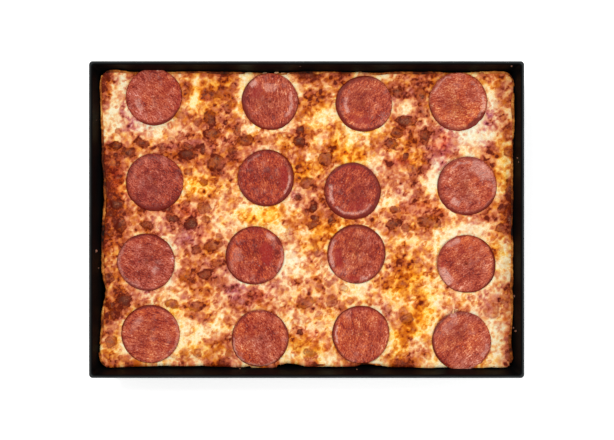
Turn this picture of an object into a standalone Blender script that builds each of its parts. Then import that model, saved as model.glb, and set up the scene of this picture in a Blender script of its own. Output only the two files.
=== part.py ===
"""A thick pan pizza with sixteen pepperoni slices, in the dark metal pan that it was baked in.

Units are metres, with +Z up. The origin is under the middle of the pan's base, and +X runs along
the pan's long side.
"""
import math
import random

import bmesh
import bpy
from mathutils import Vector, noise
from mathutils.geometry import delaunay_2d_cdt

MM = 0.001

# Pan: sizes over the rolled rim, and the sheet that it is pressed from
PAN_LENGTH = 363.0 * MM
PAN_WIDTH = 264.3 * MM
PAN_HEIGHT = 58.0 * MM
SHEET = 1.6 * MM
WALL_SLOPE = math.radians(10.0)
BEAD_RADIUS = 1.5 * MM
FLOOR_BEND = 4.0 * MM
PAN_CORNER = 3.0 * MM
PAN_CORNER_STEPS = 5
BEND_STEPS = 3
BEAD_STEPS = 9

# Clearance between pieces that touch
GAP = 0.3 * MM
WALL_GAP = 0.4 * MM

# Dough: a slab that fills the pan, with a raised uneven lip round the cheese
CRUST_CORNER = 8.0 * MM
CRUST_CORNER_STEPS = 4
EDGE_SPACING = 9.5 * MM
EDGE_HEIGHT = 38.2 * MM
EDGE_RISE_RIGHT = 1.2 * MM
EDGE_RISE_BACK = 0.8 * MM
EDGE_CRAG = 1.3 * MM
EDGE_CRAG_SIZE = 11.0 * MM
EDGE_SHRINK = 1.0 * MM
EDGE_SHRINK_SIZE = 15.0 * MM
LIP_WIDTH = 2.0 * MM
LIP_WIDTH_LEAST = 1.0 * MM
LIP_WIDTH_CHANGE = 1.1 * MM
LIP_CHANGE_SIZE = 13.0 * MM
LIP_CREST_SHARE = 0.45
LIP_OUTER_DROP = 0.7 * MM
LIP_INNER_DROP = 0.3 * MM
CHEESE_BELOW_LIP = 0.9 * MM
CRUST_TOP = 31.2 * MM

# Places where the edge climbs the pan's wall: x, y, extra height, reach
EDGE_RISES = (
    (-176.0 * MM, -113.0 * MM, 7.0 * MM, 15.0 * MM),
    (-162.0 * MM, 128.0 * MM, 6.0 * MM, 22.0 * MM),
    (-126.0 * MM, 127.0 * MM, 5.0 * MM, 22.0 * MM),
    (176.0 * MM, 93.0 * MM, 4.0 * MM, 20.0 * MM),
    (136.0 * MM, 126.0 * MM, 3.0 * MM, 20.0 * MM),
    (131.0 * MM, -126.0 * MM, 3.5 * MM, 34.0 * MM),
)

# Places where the edge has shrunk away from the wall: x, y, depth, reach
EDGE_NOTCHES = (
    (-175.0 * MM, -61.0 * MM, 4.2 * MM, 12.0 * MM),
    (-175.0 * MM, 24.0 * MM, 2.4 * MM, 30.0 * MM),
    (-14.0 * MM, -126.0 * MM, 3.4 * MM, 9.0 * MM),
    (54.0 * MM, -126.0 * MM, 1.8 * MM, 9.0 * MM),
    (20.0 * MM, -126.0 * MM, 1.0 * MM, 30.0 * MM),
    (-110.0 * MM, -126.0 * MM, 1.4 * MM, 45.0 * MM),
    (172.0 * MM, -100.0 * MM, 1.8 * MM, 12.0 * MM),
)

# Cheese: one layer over the dough, lumpy, with browned blisters
CHEESE_HEIGHT = 36.4 * MM
CHEESE_LUMP = 1.1 * MM
LUMP_SIZE = 26.0 * MM
EDGE_CLIMB_WIDTH = 15.0 * MM
GRID_SPACING = 9.4 * MM
GRID_CLEAR = 5.6 * MM
POINT_CLEAR = 2.3 * MM
OUTLINE_CLEAR = 2.0 * MM
SMALL_BLISTERS = 64
SMALL_BLISTER_RADIUS = (2.4 * MM, 4.2 * MM)
SMALL_BLISTER_HEIGHT = (0.7 * MM, 1.5 * MM)
SMALL_BLISTER_RINGS = ((1.0, 6),)
LARGE_BLISTER_HEIGHT = 1.9 * MM
LARGE_BLISTER_RINGS = ((1.0, 8), (0.5, 5))
LARGE_BLISTER_LEAST = 4.5 * MM
BLISTER_ROUNDNESS = 0.75
BLISTER_EDGE_CLEAR = 9.0 * MM

# The largest blisters: x, y, half length along X, half length along Y, all in millimetres
LARGE_BLISTERS = (
    (-161, 62, 6, 4), (-150, 57, 6, 4), (-140, 65, 7, 4), (-101, 56, 8, 5),
    (-82, 86, 5, 7), (-80, 73, 8, 4), (-109, 90, 6, 4), (-77, 48, 7, 9),
    (-52, 67, 7, 6), (-6, 66, 6, 5), (26, 71, 8, 12), (18, 51, 6, 7),
    (65, 67, 5, 5), (3, 119, 7, 5), (78, 107, 5, 4), (85, 84, 9, 6),
    (100, 70, 5, 8), (97, 105, 4, 7), (-161, 13, 6, 6), (-157, -5, 5, 9),
    (-135, -5, 6, 4), (-99, -4, 6, 4), (-89, 10, 6, 4), (-79, -22, 7, 4),
    (0, 31, 6, 5), (-14, -11, 4, 9), (73, -3, 7, 4), (103, -2, 10, 5),
    (-155, -68, 7, 7), (-85, -47, 5, 5), (-102, -49, 6, 5), (-114, -72, 7, 3),
    (-93, -74, 7, 6), (-1, -71, 8, 5), (8, -26, 3, 6), (22, -69, 4, 6),
    (85, -84, 5, 5), (69, -76, 4, 4), (157, -77, 6, 8), (-166, -104, 4, 5),
)

# Pepperoni, row by row from the back: x, y and radius in millimetres, and the way that the slanted rim
# faces, in degrees from +X
SLICES = (
    (-129.2, 102.6, 23.2, -80), (-31.0, 100.4, 23.5, -125), (48.6, 97.9, 23.5, -150),
    (128.6, 100.4, 24.1, -35),
    (-128.5, 31.8, 23.7, -75), (-34.4, 35.2, 23.7, 10), (38.9, 24.2, 23.7, -100),
    (135.8, 29.3, 24.3, -90),
    (-135.5, -36.3, 23.8, 80), (-43.7, -30.0, 24.1, 125), (42.2, -29.1, 24.1, 95),
    (135.4, -37.2, 24.3, -15),
    (-132.1, -96.4, 24.1, 100), (-38.6, -100.7, 23.7, -70), (46.1, -97.3, 24.1, 90),
    (130.7, -101.9, 23.9, -80),
)
SLICE_THICKNESS = 2.0 * MM
SLICE_SINK = 1.4 * MM
SLICE_STEPS = 28
SLICE_UNDERCUT = 0.6 * MM
SLICE_EDGE_HEIGHT = 0.55 * MM
SLICE_BEVEL = 1.0 * MM
SLICE_SLANT = 0.9 * MM
SLICE_DISH = 0.25 * MM
SLICE_DISH_SHARE = 0.55
SLICE_WOBBLE = 0.014
SEAT_STEPS = 20
SEAT_MARGIN = 0.55 * MM
SEAT_TOLERANCE = 0.1 * MM
SEAT_BANK = 2.4 * MM
SEAT_BANK_CLEAR = 0.5 * MM
SEAT_SAMPLE_SHARE = 0.8
EDGE_SLOPE_BESIDE_SLICE = 0.2
EDGE_REACH_BESIDE_SLICE = 12.0 * MM

SEED = 16


def clear_scene():
    for scene_object in list(bpy.data.objects):
        bpy.data.objects.remove(scene_object, do_unlink=True)


def material(name, color, roughness, metallic=0.0):
    surface = bpy.data.materials.new(name)
    surface.use_nodes = True
    shader = surface.node_tree.nodes["Principled BSDF"]
    shader.inputs["Base Color"].default_value = (*color, 1.0)
    shader.inputs["Roughness"].default_value = roughness
    shader.inputs["Metallic"].default_value = metallic
    return surface


def place_object(name, bm, surface, sharp_angle):
    mesh = bpy.data.meshes.new(name)
    bm.to_mesh(mesh)
    bm.free()
    mesh.shade_smooth()
    mesh.set_sharp_from_angle(angle=sharp_angle)
    mesh.materials.append(surface)
    piece = bpy.data.objects.new(name, mesh)
    bpy.context.scene.collection.objects.link(piece)
    return piece


def smooth_step(value):
    value = min(max(value, 0.0), 1.0)
    return value * value * (3.0 - 2.0 * value)


def bump(x, y, place_x, place_y, reach):
    """One at a place, falling to nothing a few reaches away."""
    return math.exp(-((x - place_x) ** 2 + (y - place_y) ** 2) / (reach * reach))


def unevenness(x, y, size, layer):
    """A smooth random value between about minus one and one, with lumps of the given size."""
    return noise.noise(Vector((x / size, y / size, layer * 7.3))) * 1.5


def wall_inset(height):
    """How far the wall's inner face stands in from the outside of the rim."""
    return 2.0 * BEAD_RADIUS + (PAN_HEIGHT - BEAD_RADIUS - height) * math.tan(WALL_SLOPE)


def perimeter(inset, radius, corner_steps, spacing=None):
    """Points and inward directions round a rectangle with round corners, inset from the rim."""
    half_x = PAN_LENGTH / 2 - inset - radius
    half_y = PAN_WIDTH / 2 - inset - radius
    centres = ((half_x, half_y), (-half_x, half_y), (-half_x, -half_y), (half_x, -half_y))
    places = []
    for corner, (centre_x, centre_y) in enumerate(centres):
        for step in range(corner_steps + 1):
            angle = (corner + step / corner_steps) * math.pi / 2
            outward = Vector((math.cos(angle), math.sin(angle)))
            places.append((Vector((centre_x, centre_y)) + outward * radius, -outward))
        if spacing is None:
            continue
        start, inward = places[-1]
        run, full_side = (2 * half_x, PAN_LENGTH) if corner % 2 == 0 else (2 * half_y, PAN_WIDTH)
        along = Vector((inward.y, -inward.x))
        steps = round(full_side / spacing)
        for step in range(1, steps):
            places.append((start + along * (run * step / steps), inward))
    return places


def ring_at(bm, places, height):
    return [bm.verts.new((point.x, point.y, height)) for point, _ in places]


def bridge(bm, lower, upper):
    count = len(lower)
    for i in range(count):
        j = (i + 1) % count
        bm.faces.new((lower[i], lower[j], upper[j], upper[i]))


def fan(bm, ring, centre, facing_up):
    hub = bm.verts.new(centre)
    count = len(ring)
    for i in range(count):
        edge = (ring[i], ring[(i + 1) % count])
        bm.faces.new((hub, edge[0], edge[1]) if facing_up else (hub, edge[1], edge[0]))


def pan_profile():
    """Inset and height along the sheet's section, from under the base, over the rim, to the inner floor."""
    turn = math.pi / 2 - WALL_SLOPE
    outer_bend = FLOOR_BEND + SHEET
    profile = []
    outer_foot = wall_inset(outer_bend) - SHEET
    for step in range(BEND_STEPS + 1):
        angle = turn * step / BEND_STEPS
        inset = outer_foot + outer_bend * (math.cos(WALL_SLOPE) - math.sin(angle))
        profile.append((inset, outer_bend * (1.0 - math.cos(angle))))
    bead_centre = PAN_HEIGHT - BEAD_RADIUS
    for step in range(BEAD_STEPS + 1):
        angle = -math.pi / 2 + 1.5 * math.pi * step / BEAD_STEPS
        inset = BEAD_RADIUS * (1.0 - math.cos(angle))
        profile.append((inset, bead_centre + BEAD_RADIUS * math.sin(angle)))
    inner_foot = wall_inset(SHEET + FLOOR_BEND * (1.0 - math.cos(turn)))
    for step in range(BEND_STEPS, -1, -1):
        angle = turn * step / BEND_STEPS
        inset = inner_foot + FLOOR_BEND * (math.cos(WALL_SLOPE) - math.sin(angle))
        profile.append((inset, SHEET + FLOOR_BEND * (1.0 - math.cos(angle))))
    return profile


def build_pan():
    bm = bmesh.new()
    rings = []
    for inset, height in pan_profile():
        rings.append(ring_at(bm, perimeter(inset, PAN_CORNER, PAN_CORNER_STEPS), height))
    for lower, upper in zip(rings, rings[1:]):
        bridge(bm, lower, upper)
    bm.faces.new(reversed(rings[0]))
    bm.faces.new(rings[-1])
    dark_metal = material("pan_metal", (0.022, 0.019, 0.017), 0.42, 0.6)
    return place_object("pan", bm, dark_metal, math.radians(35))


def edge_height(x, y):
    height = EDGE_HEIGHT + EDGE_RISE_RIGHT * x / (PAN_LENGTH / 2) + EDGE_RISE_BACK * y / (PAN_WIDTH / 2)
    height += EDGE_CRAG * unevenness(x, y, EDGE_CRAG_SIZE, 1)
    for place_x, place_y, rise, reach in EDGE_RISES:
        height += rise * bump(x, y, place_x, place_y, reach)
    return height


def edge_shrink(x, y):
    shrink = EDGE_SHRINK * max(0.0, unevenness(x, y, EDGE_SHRINK_SIZE, 2))
    for place_x, place_y, depth, reach in EDGE_NOTCHES:
        shrink += depth * bump(x, y, place_x, place_y, reach)
    return shrink


def lip_width(x, y):
    return max(LIP_WIDTH + LIP_WIDTH_CHANGE * unevenness(x, y, LIP_CHANGE_SIZE, 3), LIP_WIDTH_LEAST)


def edge_limit(x, y, slices):
    """The highest that the pizza's edge can stand at a place and stay under the slices beside it."""
    limit = PAN_HEIGHT
    for topping in slices:
        beyond = topping.distance(x, y) - topping.radius - SEAT_MARGIN
        if beyond < EDGE_REACH_BESIDE_SLICE:
            limit = min(limit, topping.seat(x, y) - GAP + EDGE_SLOPE_BESIDE_SLICE * max(beyond, 0.0))
    return limit


def pizza_edge(slices):
    """For each place round the pizza: the outer edge, the inward direction, its height and its lip."""
    places = perimeter(wall_inset(EDGE_HEIGHT) + WALL_GAP, CRUST_CORNER, CRUST_CORNER_STEPS, EDGE_SPACING)
    edge = []
    for point, inward in places:
        height = min(edge_height(point.x, point.y), edge_limit(point.x, point.y, slices))
        lean = (EDGE_HEIGHT - height) * math.tan(WALL_SLOPE)
        outer = point + inward * (lean + edge_shrink(point.x, point.y))
        edge.append((outer, inward, height, lip_width(point.x, point.y)))
    return edge


def bed_height(x, y):
    """The cheese's level without blisters and dents, climbing to the edge all round."""
    half_x = PAN_LENGTH / 2 - wall_inset(EDGE_HEIGHT)
    half_y = PAN_WIDTH / 2 - wall_inset(EDGE_HEIGHT)
    to_edge = min(half_x - abs(x), half_y - abs(y))
    climb = smooth_step(1.0 - to_edge / EDGE_CLIMB_WIDTH)
    level = CHEESE_HEIGHT + CHEESE_LUMP * unevenness(x, y, LUMP_SIZE, 4)
    return level + (edge_height(x, y) - CHEESE_BELOW_LIP - level) * climb


class Slice:
    """One pepperoni slice and the flat tilted seat that it lies on."""

    def __init__(self, x, y, radius, facing):
        self.centre = Vector((x * MM, y * MM))
        self.radius = radius * MM
        self.facing = math.radians(facing)
        reach = SEAT_SAMPLE_SHARE * self.radius
        samples = [bed_height(self.centre.x + dx * reach, self.centre.y + dy * reach)
                   for dx, dy in ((1, 0), (-1, 0), (0, 1), (0, -1), (0, 0))]
        self.level = sum(samples) / len(samples) - SLICE_SINK
        self.tilt_x = (samples[0] - samples[1]) / (2 * reach)
        self.tilt_y = (samples[2] - samples[3]) / (2 * reach)

    def seat(self, x, y):
        return self.level + self.tilt_x * (x - self.centre.x) + self.tilt_y * (y - self.centre.y)

    def distance(self, x, y):
        return (Vector((x, y)) - self.centre).length

    def circle(self, radius, steps):
        for step in range(steps):
            angle = 2 * math.pi * step / steps
            yield self.centre + Vector((math.cos(angle), math.sin(angle))) * radius


def build_crust(edge, slices):
    bm = bmesh.new()
    floor = SHEET + GAP
    bottom = perimeter(wall_inset(SHEET) + FLOOR_BEND, CRUST_CORNER, CRUST_CORNER_STEPS, EDGE_SPACING)
    bend_height = SHEET + FLOOR_BEND
    side = perimeter(wall_inset(bend_height) + WALL_GAP, CRUST_CORNER, CRUST_CORNER_STEPS, EDGE_SPACING)
    rings = [ring_at(bm, bottom, floor), ring_at(bm, side, bend_height)]
    outer_ring, crest_ring, inner_ring, recess_ring = [], [], [], []
    for outer, inward, height, lip in edge:
        crest = outer + inward * (lip * LIP_CREST_SHARE)
        inner = outer + inward * lip
        for ring, point, level in (
            (outer_ring, outer, height - LIP_OUTER_DROP),
            (crest_ring, crest, height),
            (inner_ring, inner, height - LIP_INNER_DROP),
        ):
            ring.append(bm.verts.new((point.x, point.y, min(level, edge_limit(point.x, point.y, slices)))))
        recess_ring.append(bm.verts.new((inner.x, inner.y, CRUST_TOP)))
    rings += [outer_ring, crest_ring, inner_ring, recess_ring]
    for lower, upper in zip(rings, rings[1:]):
        bridge(bm, lower, upper)
    fan(bm, rings[0], (0.0, 0.0, floor), facing_up=False)
    fan(bm, recess_ring, (0.0, 0.0, CRUST_TOP), facing_up=True)
    return place_object("crust", bm, material("baked_dough", (0.30, 0.13, 0.05), 0.75), math.radians(50))


def all_blisters(slices, draw):
    """The large blisters at their places, then small ones scattered between them and the slices."""
    blisters = []
    for x, y, reach_x, reach_y in LARGE_BLISTERS:
        blisters.append((Vector((x, y)) * MM, reach_x * MM, reach_y * MM, LARGE_BLISTER_HEIGHT))
    half_x = PAN_LENGTH / 2 - wall_inset(EDGE_HEIGHT) - BLISTER_EDGE_CLEAR
    half_y = PAN_WIDTH / 2 - wall_inset(EDGE_HEIGHT) - BLISTER_EDGE_CLEAR
    wanted = len(blisters) + SMALL_BLISTERS
    while len(blisters) < wanted:
        place = Vector((draw.uniform(-half_x, half_x), draw.uniform(-half_y, half_y)))
        radius = draw.uniform(*SMALL_BLISTER_RADIUS)
        near_slice = any(s.distance(place.x, place.y) < s.radius + SEAT_BANK + radius for s in slices)
        near_blister = any((place - b[0]).length < radius + max(b[1], b[2]) for b in blisters)
        height = draw.uniform(*SMALL_BLISTER_HEIGHT)
        if not near_slice and not near_blister:
            blisters.append((place, radius, radius, height))
    return blisters


def blister_height(x, y, blisters):
    height = 0.0
    for place, reach_x, reach_y, rise in blisters:
        away = ((x - place.x) / reach_x) ** 2 + ((y - place.y) / reach_y) ** 2
        if away < 1.0:
            height = max(height, rise * (1.0 - away) ** BLISTER_ROUNDNESS)
    return height


def cheese_plan(edge, slices, blisters):
    """Plan points of the cheese's top: outline, seats, blisters and a loose grid between them."""
    outline = [outer + inward * (lip + GAP) for outer, inward, _, lip in edge]
    points = list(outline)
    loops = []
    seat_points = []
    for topping in slices:
        for radius in (topping.radius + SEAT_MARGIN, topping.radius + SEAT_BANK):
            loop = [place for place in topping.circle(radius, SEAT_STEPS) if inside(place, outline)]
            if len(loop) == SEAT_STEPS:
                first = len(points) + len(seat_points)
                loops += [(first + i, first + (i + 1) % SEAT_STEPS) for i in range(SEAT_STEPS)]
            seat_points += loop
        seat_points.append(topping.centre.copy())
    points += seat_points
    for place, reach_x, reach_y, _ in blisters:
        large = max(reach_x, reach_y) > LARGE_BLISTER_LEAST
        rings = LARGE_BLISTER_RINGS if large else SMALL_BLISTER_RINGS
        candidates = [place]
        for share, steps in rings:
            for step in range(steps):
                angle = 2 * math.pi * step / steps
                offset = Vector((reach_x * math.cos(angle), reach_y * math.sin(angle)))
                candidates.append(place + offset * share)
        points += [p for p in candidates if free(p, points, POINT_CLEAR, outline, slices)]
    points += grid_points(points, outline, slices)
    return outline, points, loops


def inside(place, outline):
    """Whether a place is within the outline, by counting the sides crossed on the way out."""
    crossings = 0
    for a, b in zip(outline, outline[1:] + outline[:1]):
        if (a.y > place.y) != (b.y > place.y):
            if place.x < a.x + (place.y - a.y) / (b.y - a.y) * (b.x - a.x):
                crossings += 1
    return crossings % 2 == 1 and min((place - a).length for a in outline) > OUTLINE_CLEAR


def free(place, points, clear, outline, slices):
    if any(s.distance(place.x, place.y) < s.radius + SEAT_BANK + SEAT_BANK_CLEAR for s in slices):
        return False
    if any((place - other).length < clear for other in points):
        return False
    return inside(place, outline)


def grid_points(points, outline, slices):
    taken = list(points)
    found = []
    row_step = GRID_SPACING * math.sqrt(3) / 2
    rows = int(PAN_WIDTH / 2 / row_step)
    columns = int(PAN_LENGTH / 2 / GRID_SPACING)
    for row in range(-rows, rows + 1):
        for column in range(-columns, columns + 1):
            shift = 0.5 * (row % 2)
            place = Vector(((column + shift) * GRID_SPACING, row * row_step))
            if free(place, taken, GRID_CLEAR, outline, slices):
                taken.append(place)
                found.append(place)
    return found


def cheese_height(x, y, slices, blisters):
    for topping in slices:
        if topping.distance(x, y) < topping.radius + SEAT_MARGIN + SEAT_TOLERANCE:
            return topping.seat(x, y)
    return bed_height(x, y) + blister_height(x, y, blisters)


def build_cheese(edge, slices, draw):
    blisters = all_blisters(slices, draw)
    outline, points, loops = cheese_plan(edge, slices, blisters)
    count = len(outline)
    plan = delaunay_2d_cdt(points, loops, [list(range(count))], 1, 1e-9)
    bm = bmesh.new()
    top = []
    for number, p in enumerate(plan[0]):
        height = cheese_height(p.x, p.y, slices, blisters)
        if number < count:
            height = min(height, edge_limit(p.x, p.y, slices))
        top.append(bm.verts.new((p.x, p.y, height)))
    for corners in plan[2]:
        a, b, c = (plan[0][i] for i in corners)
        upward = (b - a).cross(c - a) > 0.0
        bm.faces.new([top[i] for i in (corners if upward else reversed(corners))])
    under = [bm.verts.new((p.x, p.y, CRUST_TOP + GAP)) for p in outline]
    bridge(bm, under, top[:count])
    fan(bm, under, (0.0, 0.0, CRUST_TOP + GAP), facing_up=False)
    return place_object("cheese", bm, material("melted_cheese", (0.72, 0.36, 0.13), 0.45), math.radians(60))


def build_slice(name, topping, surface, draw):
    """A round slice cut at a slant, so that its rim shows most on one side."""
    phases = [draw.uniform(0, 2 * math.pi) for _ in range(2)]
    away = Vector((math.cos(topping.facing), math.sin(topping.facing))) * -SLICE_SLANT
    rings_wanted = (
        (SLICE_UNDERCUT, 0.0, 0.0),
        (0.0, SLICE_EDGE_HEIGHT, 0.0),
        (SLICE_BEVEL, SLICE_THICKNESS, 1.0),
        (topping.radius * (1.0 - SLICE_DISH_SHARE), SLICE_THICKNESS - SLICE_DISH, 0.5),
    )
    bm = bmesh.new()
    rings = []
    for inward, height, slant in rings_wanted:
        ring = []
        for step in range(SLICE_STEPS):
            angle = 2 * math.pi * step / SLICE_STEPS
            wobble = 0.6 * math.sin(2 * angle + phases[0]) + 0.4 * math.sin(3 * angle + phases[1])
            reach = (topping.radius - inward) * (1.0 - SLICE_WOBBLE * (1.0 - wobble))
            place = topping.centre + Vector((math.cos(angle), math.sin(angle))) * reach + away * slant
            level = topping.seat(place.x, place.y) + GAP + height
            ring.append(bm.verts.new((place.x, place.y, level)))
        rings.append(ring)
    for lower, upper in zip(rings, rings[1:]):
        bridge(bm, lower, upper)
    base = topping.seat(*topping.centre) + GAP
    fan(bm, rings[0], (*topping.centre, base), facing_up=False)
    fan(bm, rings[-1], (*topping.centre, base + SLICE_THICKNESS - 1.5 * SLICE_DISH), facing_up=True)
    return place_object(name, bm, surface, math.radians(50))


def main():
    clear_scene()
    draw = random.Random(SEED)
    slices = [Slice(*row) for row in SLICES]
    edge = pizza_edge(slices)
    build_pan()
    build_crust(edge, slices)
    build_cheese(edge, slices, draw)
    meat = material("pepperoni_meat", (0.44, 0.10, 0.06), 0.35)
    for number, topping in enumerate(slices, start=1):
        build_slice(f"pepperoni_{number:02d}", topping, meat, draw)


main()
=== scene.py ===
"""The looks of a pan pizza with pepperoni: browned cheese, oily slices, a baked edge and a dark metal pan."""

import math
import random

import bmesh
import bpy
import numpy as np
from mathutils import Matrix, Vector
from mathutils.bvhtree import BVHTree


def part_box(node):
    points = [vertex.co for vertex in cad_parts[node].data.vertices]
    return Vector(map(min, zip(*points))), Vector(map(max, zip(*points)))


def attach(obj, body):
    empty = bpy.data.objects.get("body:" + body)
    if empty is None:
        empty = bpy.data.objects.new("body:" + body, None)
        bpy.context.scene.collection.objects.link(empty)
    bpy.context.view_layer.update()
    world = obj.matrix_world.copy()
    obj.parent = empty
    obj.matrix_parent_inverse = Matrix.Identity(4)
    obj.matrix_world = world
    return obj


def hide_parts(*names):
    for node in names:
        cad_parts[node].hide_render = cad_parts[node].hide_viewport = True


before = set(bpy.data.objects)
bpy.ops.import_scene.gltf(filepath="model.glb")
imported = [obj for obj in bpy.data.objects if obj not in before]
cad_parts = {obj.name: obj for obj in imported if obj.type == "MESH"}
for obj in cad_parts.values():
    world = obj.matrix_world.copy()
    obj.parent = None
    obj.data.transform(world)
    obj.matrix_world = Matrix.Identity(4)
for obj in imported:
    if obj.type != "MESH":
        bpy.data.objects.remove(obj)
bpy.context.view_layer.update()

MM = 0.001
SLICE_NAMES = sorted(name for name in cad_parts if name.startswith("pepperoni_"))
PAN_LOW, PAN_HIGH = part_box("pan")
RIM_HEIGHT = PAN_HIGH.z
PAN_LENGTH = PAN_HIGH.x - PAN_LOW.x
PAN_WIDTH = PAN_HIGH.y - PAN_LOW.y
WALL_SLOPE = math.radians(10.0)
BEAD_RADIUS = 1.5 * MM

# The photo's frame, in its own pixels: its size, and the pan's middle and length in it
PHOTO_WIDTH = 614
PHOTO_HEIGHT = 440
PHOTO_PAN_MIDDLE = (306.6, 219.6)
PHOTO_PAN_LENGTH = 435.7
PIXEL = PAN_LENGTH / PHOTO_PAN_LENGTH
CAMERA_ABOVE_RIM = 1.2
CAMERA_HEIGHT = RIM_HEIGHT + CAMERA_ABOVE_RIM
SENSOR_WIDTH = 36.0
CHEESE_LEVEL = 37.0 * MM

SEED = 1403
LUMP_TABLE = 256
OCTAVE_SHIFT = 0.37
OCTAVE_FADE = 0.55


def at_photo(across, down, height=CHEESE_LEVEL):
    """The place on the pizza that the photo shows at a pixel."""
    size = PIXEL * (CAMERA_HEIGHT - height) / CAMERA_ABOVE_RIM
    return (across - PHOTO_PAN_MIDDLE[0]) * size, (PHOTO_PAN_MIDDLE[1] - down) * size


def smooth(value, low=0.0, high=1.0):
    """Nothing at the low end, one at the high end, and a smooth rise between them."""
    share = np.clip((value - low) / (high - low), 0.0, 1.0)
    return share * share * (3.0 - 2.0 * share)


def lumps(x, y, size, seed):
    """Smooth random values from minus one to one, with lumps of about the given size."""
    table = np.random.default_rng(seed).uniform(-1.0, 1.0, (LUMP_TABLE, LUMP_TABLE))
    u, v = x / size, y / size
    column, row = np.floor(u).astype(int), np.floor(v).astype(int)
    share_u, share_v = smooth(u - column), smooth(v - row)
    column, row = column % LUMP_TABLE, row % LUMP_TABLE
    next_column, next_row = (column + 1) % LUMP_TABLE, (row + 1) % LUMP_TABLE
    low = table[column, row] * (1 - share_u) + table[next_column, row] * share_u
    high = table[column, next_row] * (1 - share_u) + table[next_column, next_row] * share_u
    return low * (1 - share_v) + high * share_v


def rough_lumps(x, y, size, seed, octaves=3):
    """Lumps with smaller lumps on them."""
    total, weight, weights = np.zeros_like(x), 1.0, 0.0
    for octave in range(octaves):
        total += weight * lumps(x + OCTAVE_SHIFT * size * octave, y, size / 2 ** octave, seed + octave)
        weights += weight
        weight *= OCTAVE_FADE
    return total / weights


# Materials

# The range that most of a noise texture's values lie in
NOISE_LOW = 0.3
NOISE_HIGH = 0.7

# How much the red and the green of a colour change with its hue
RED_SHIFT = 0.09
GREEN_SHIFT = -0.03


def linear(red, green, blue):
    """A colour as screens show it, in parts of 255, turned into the linear values that shaders use."""
    return tuple((c / 255 / 12.92) if c / 255 <= 0.04045 else ((c / 255 + 0.055) / 1.055) ** 2.4
                 for c in (red, green, blue))


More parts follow.
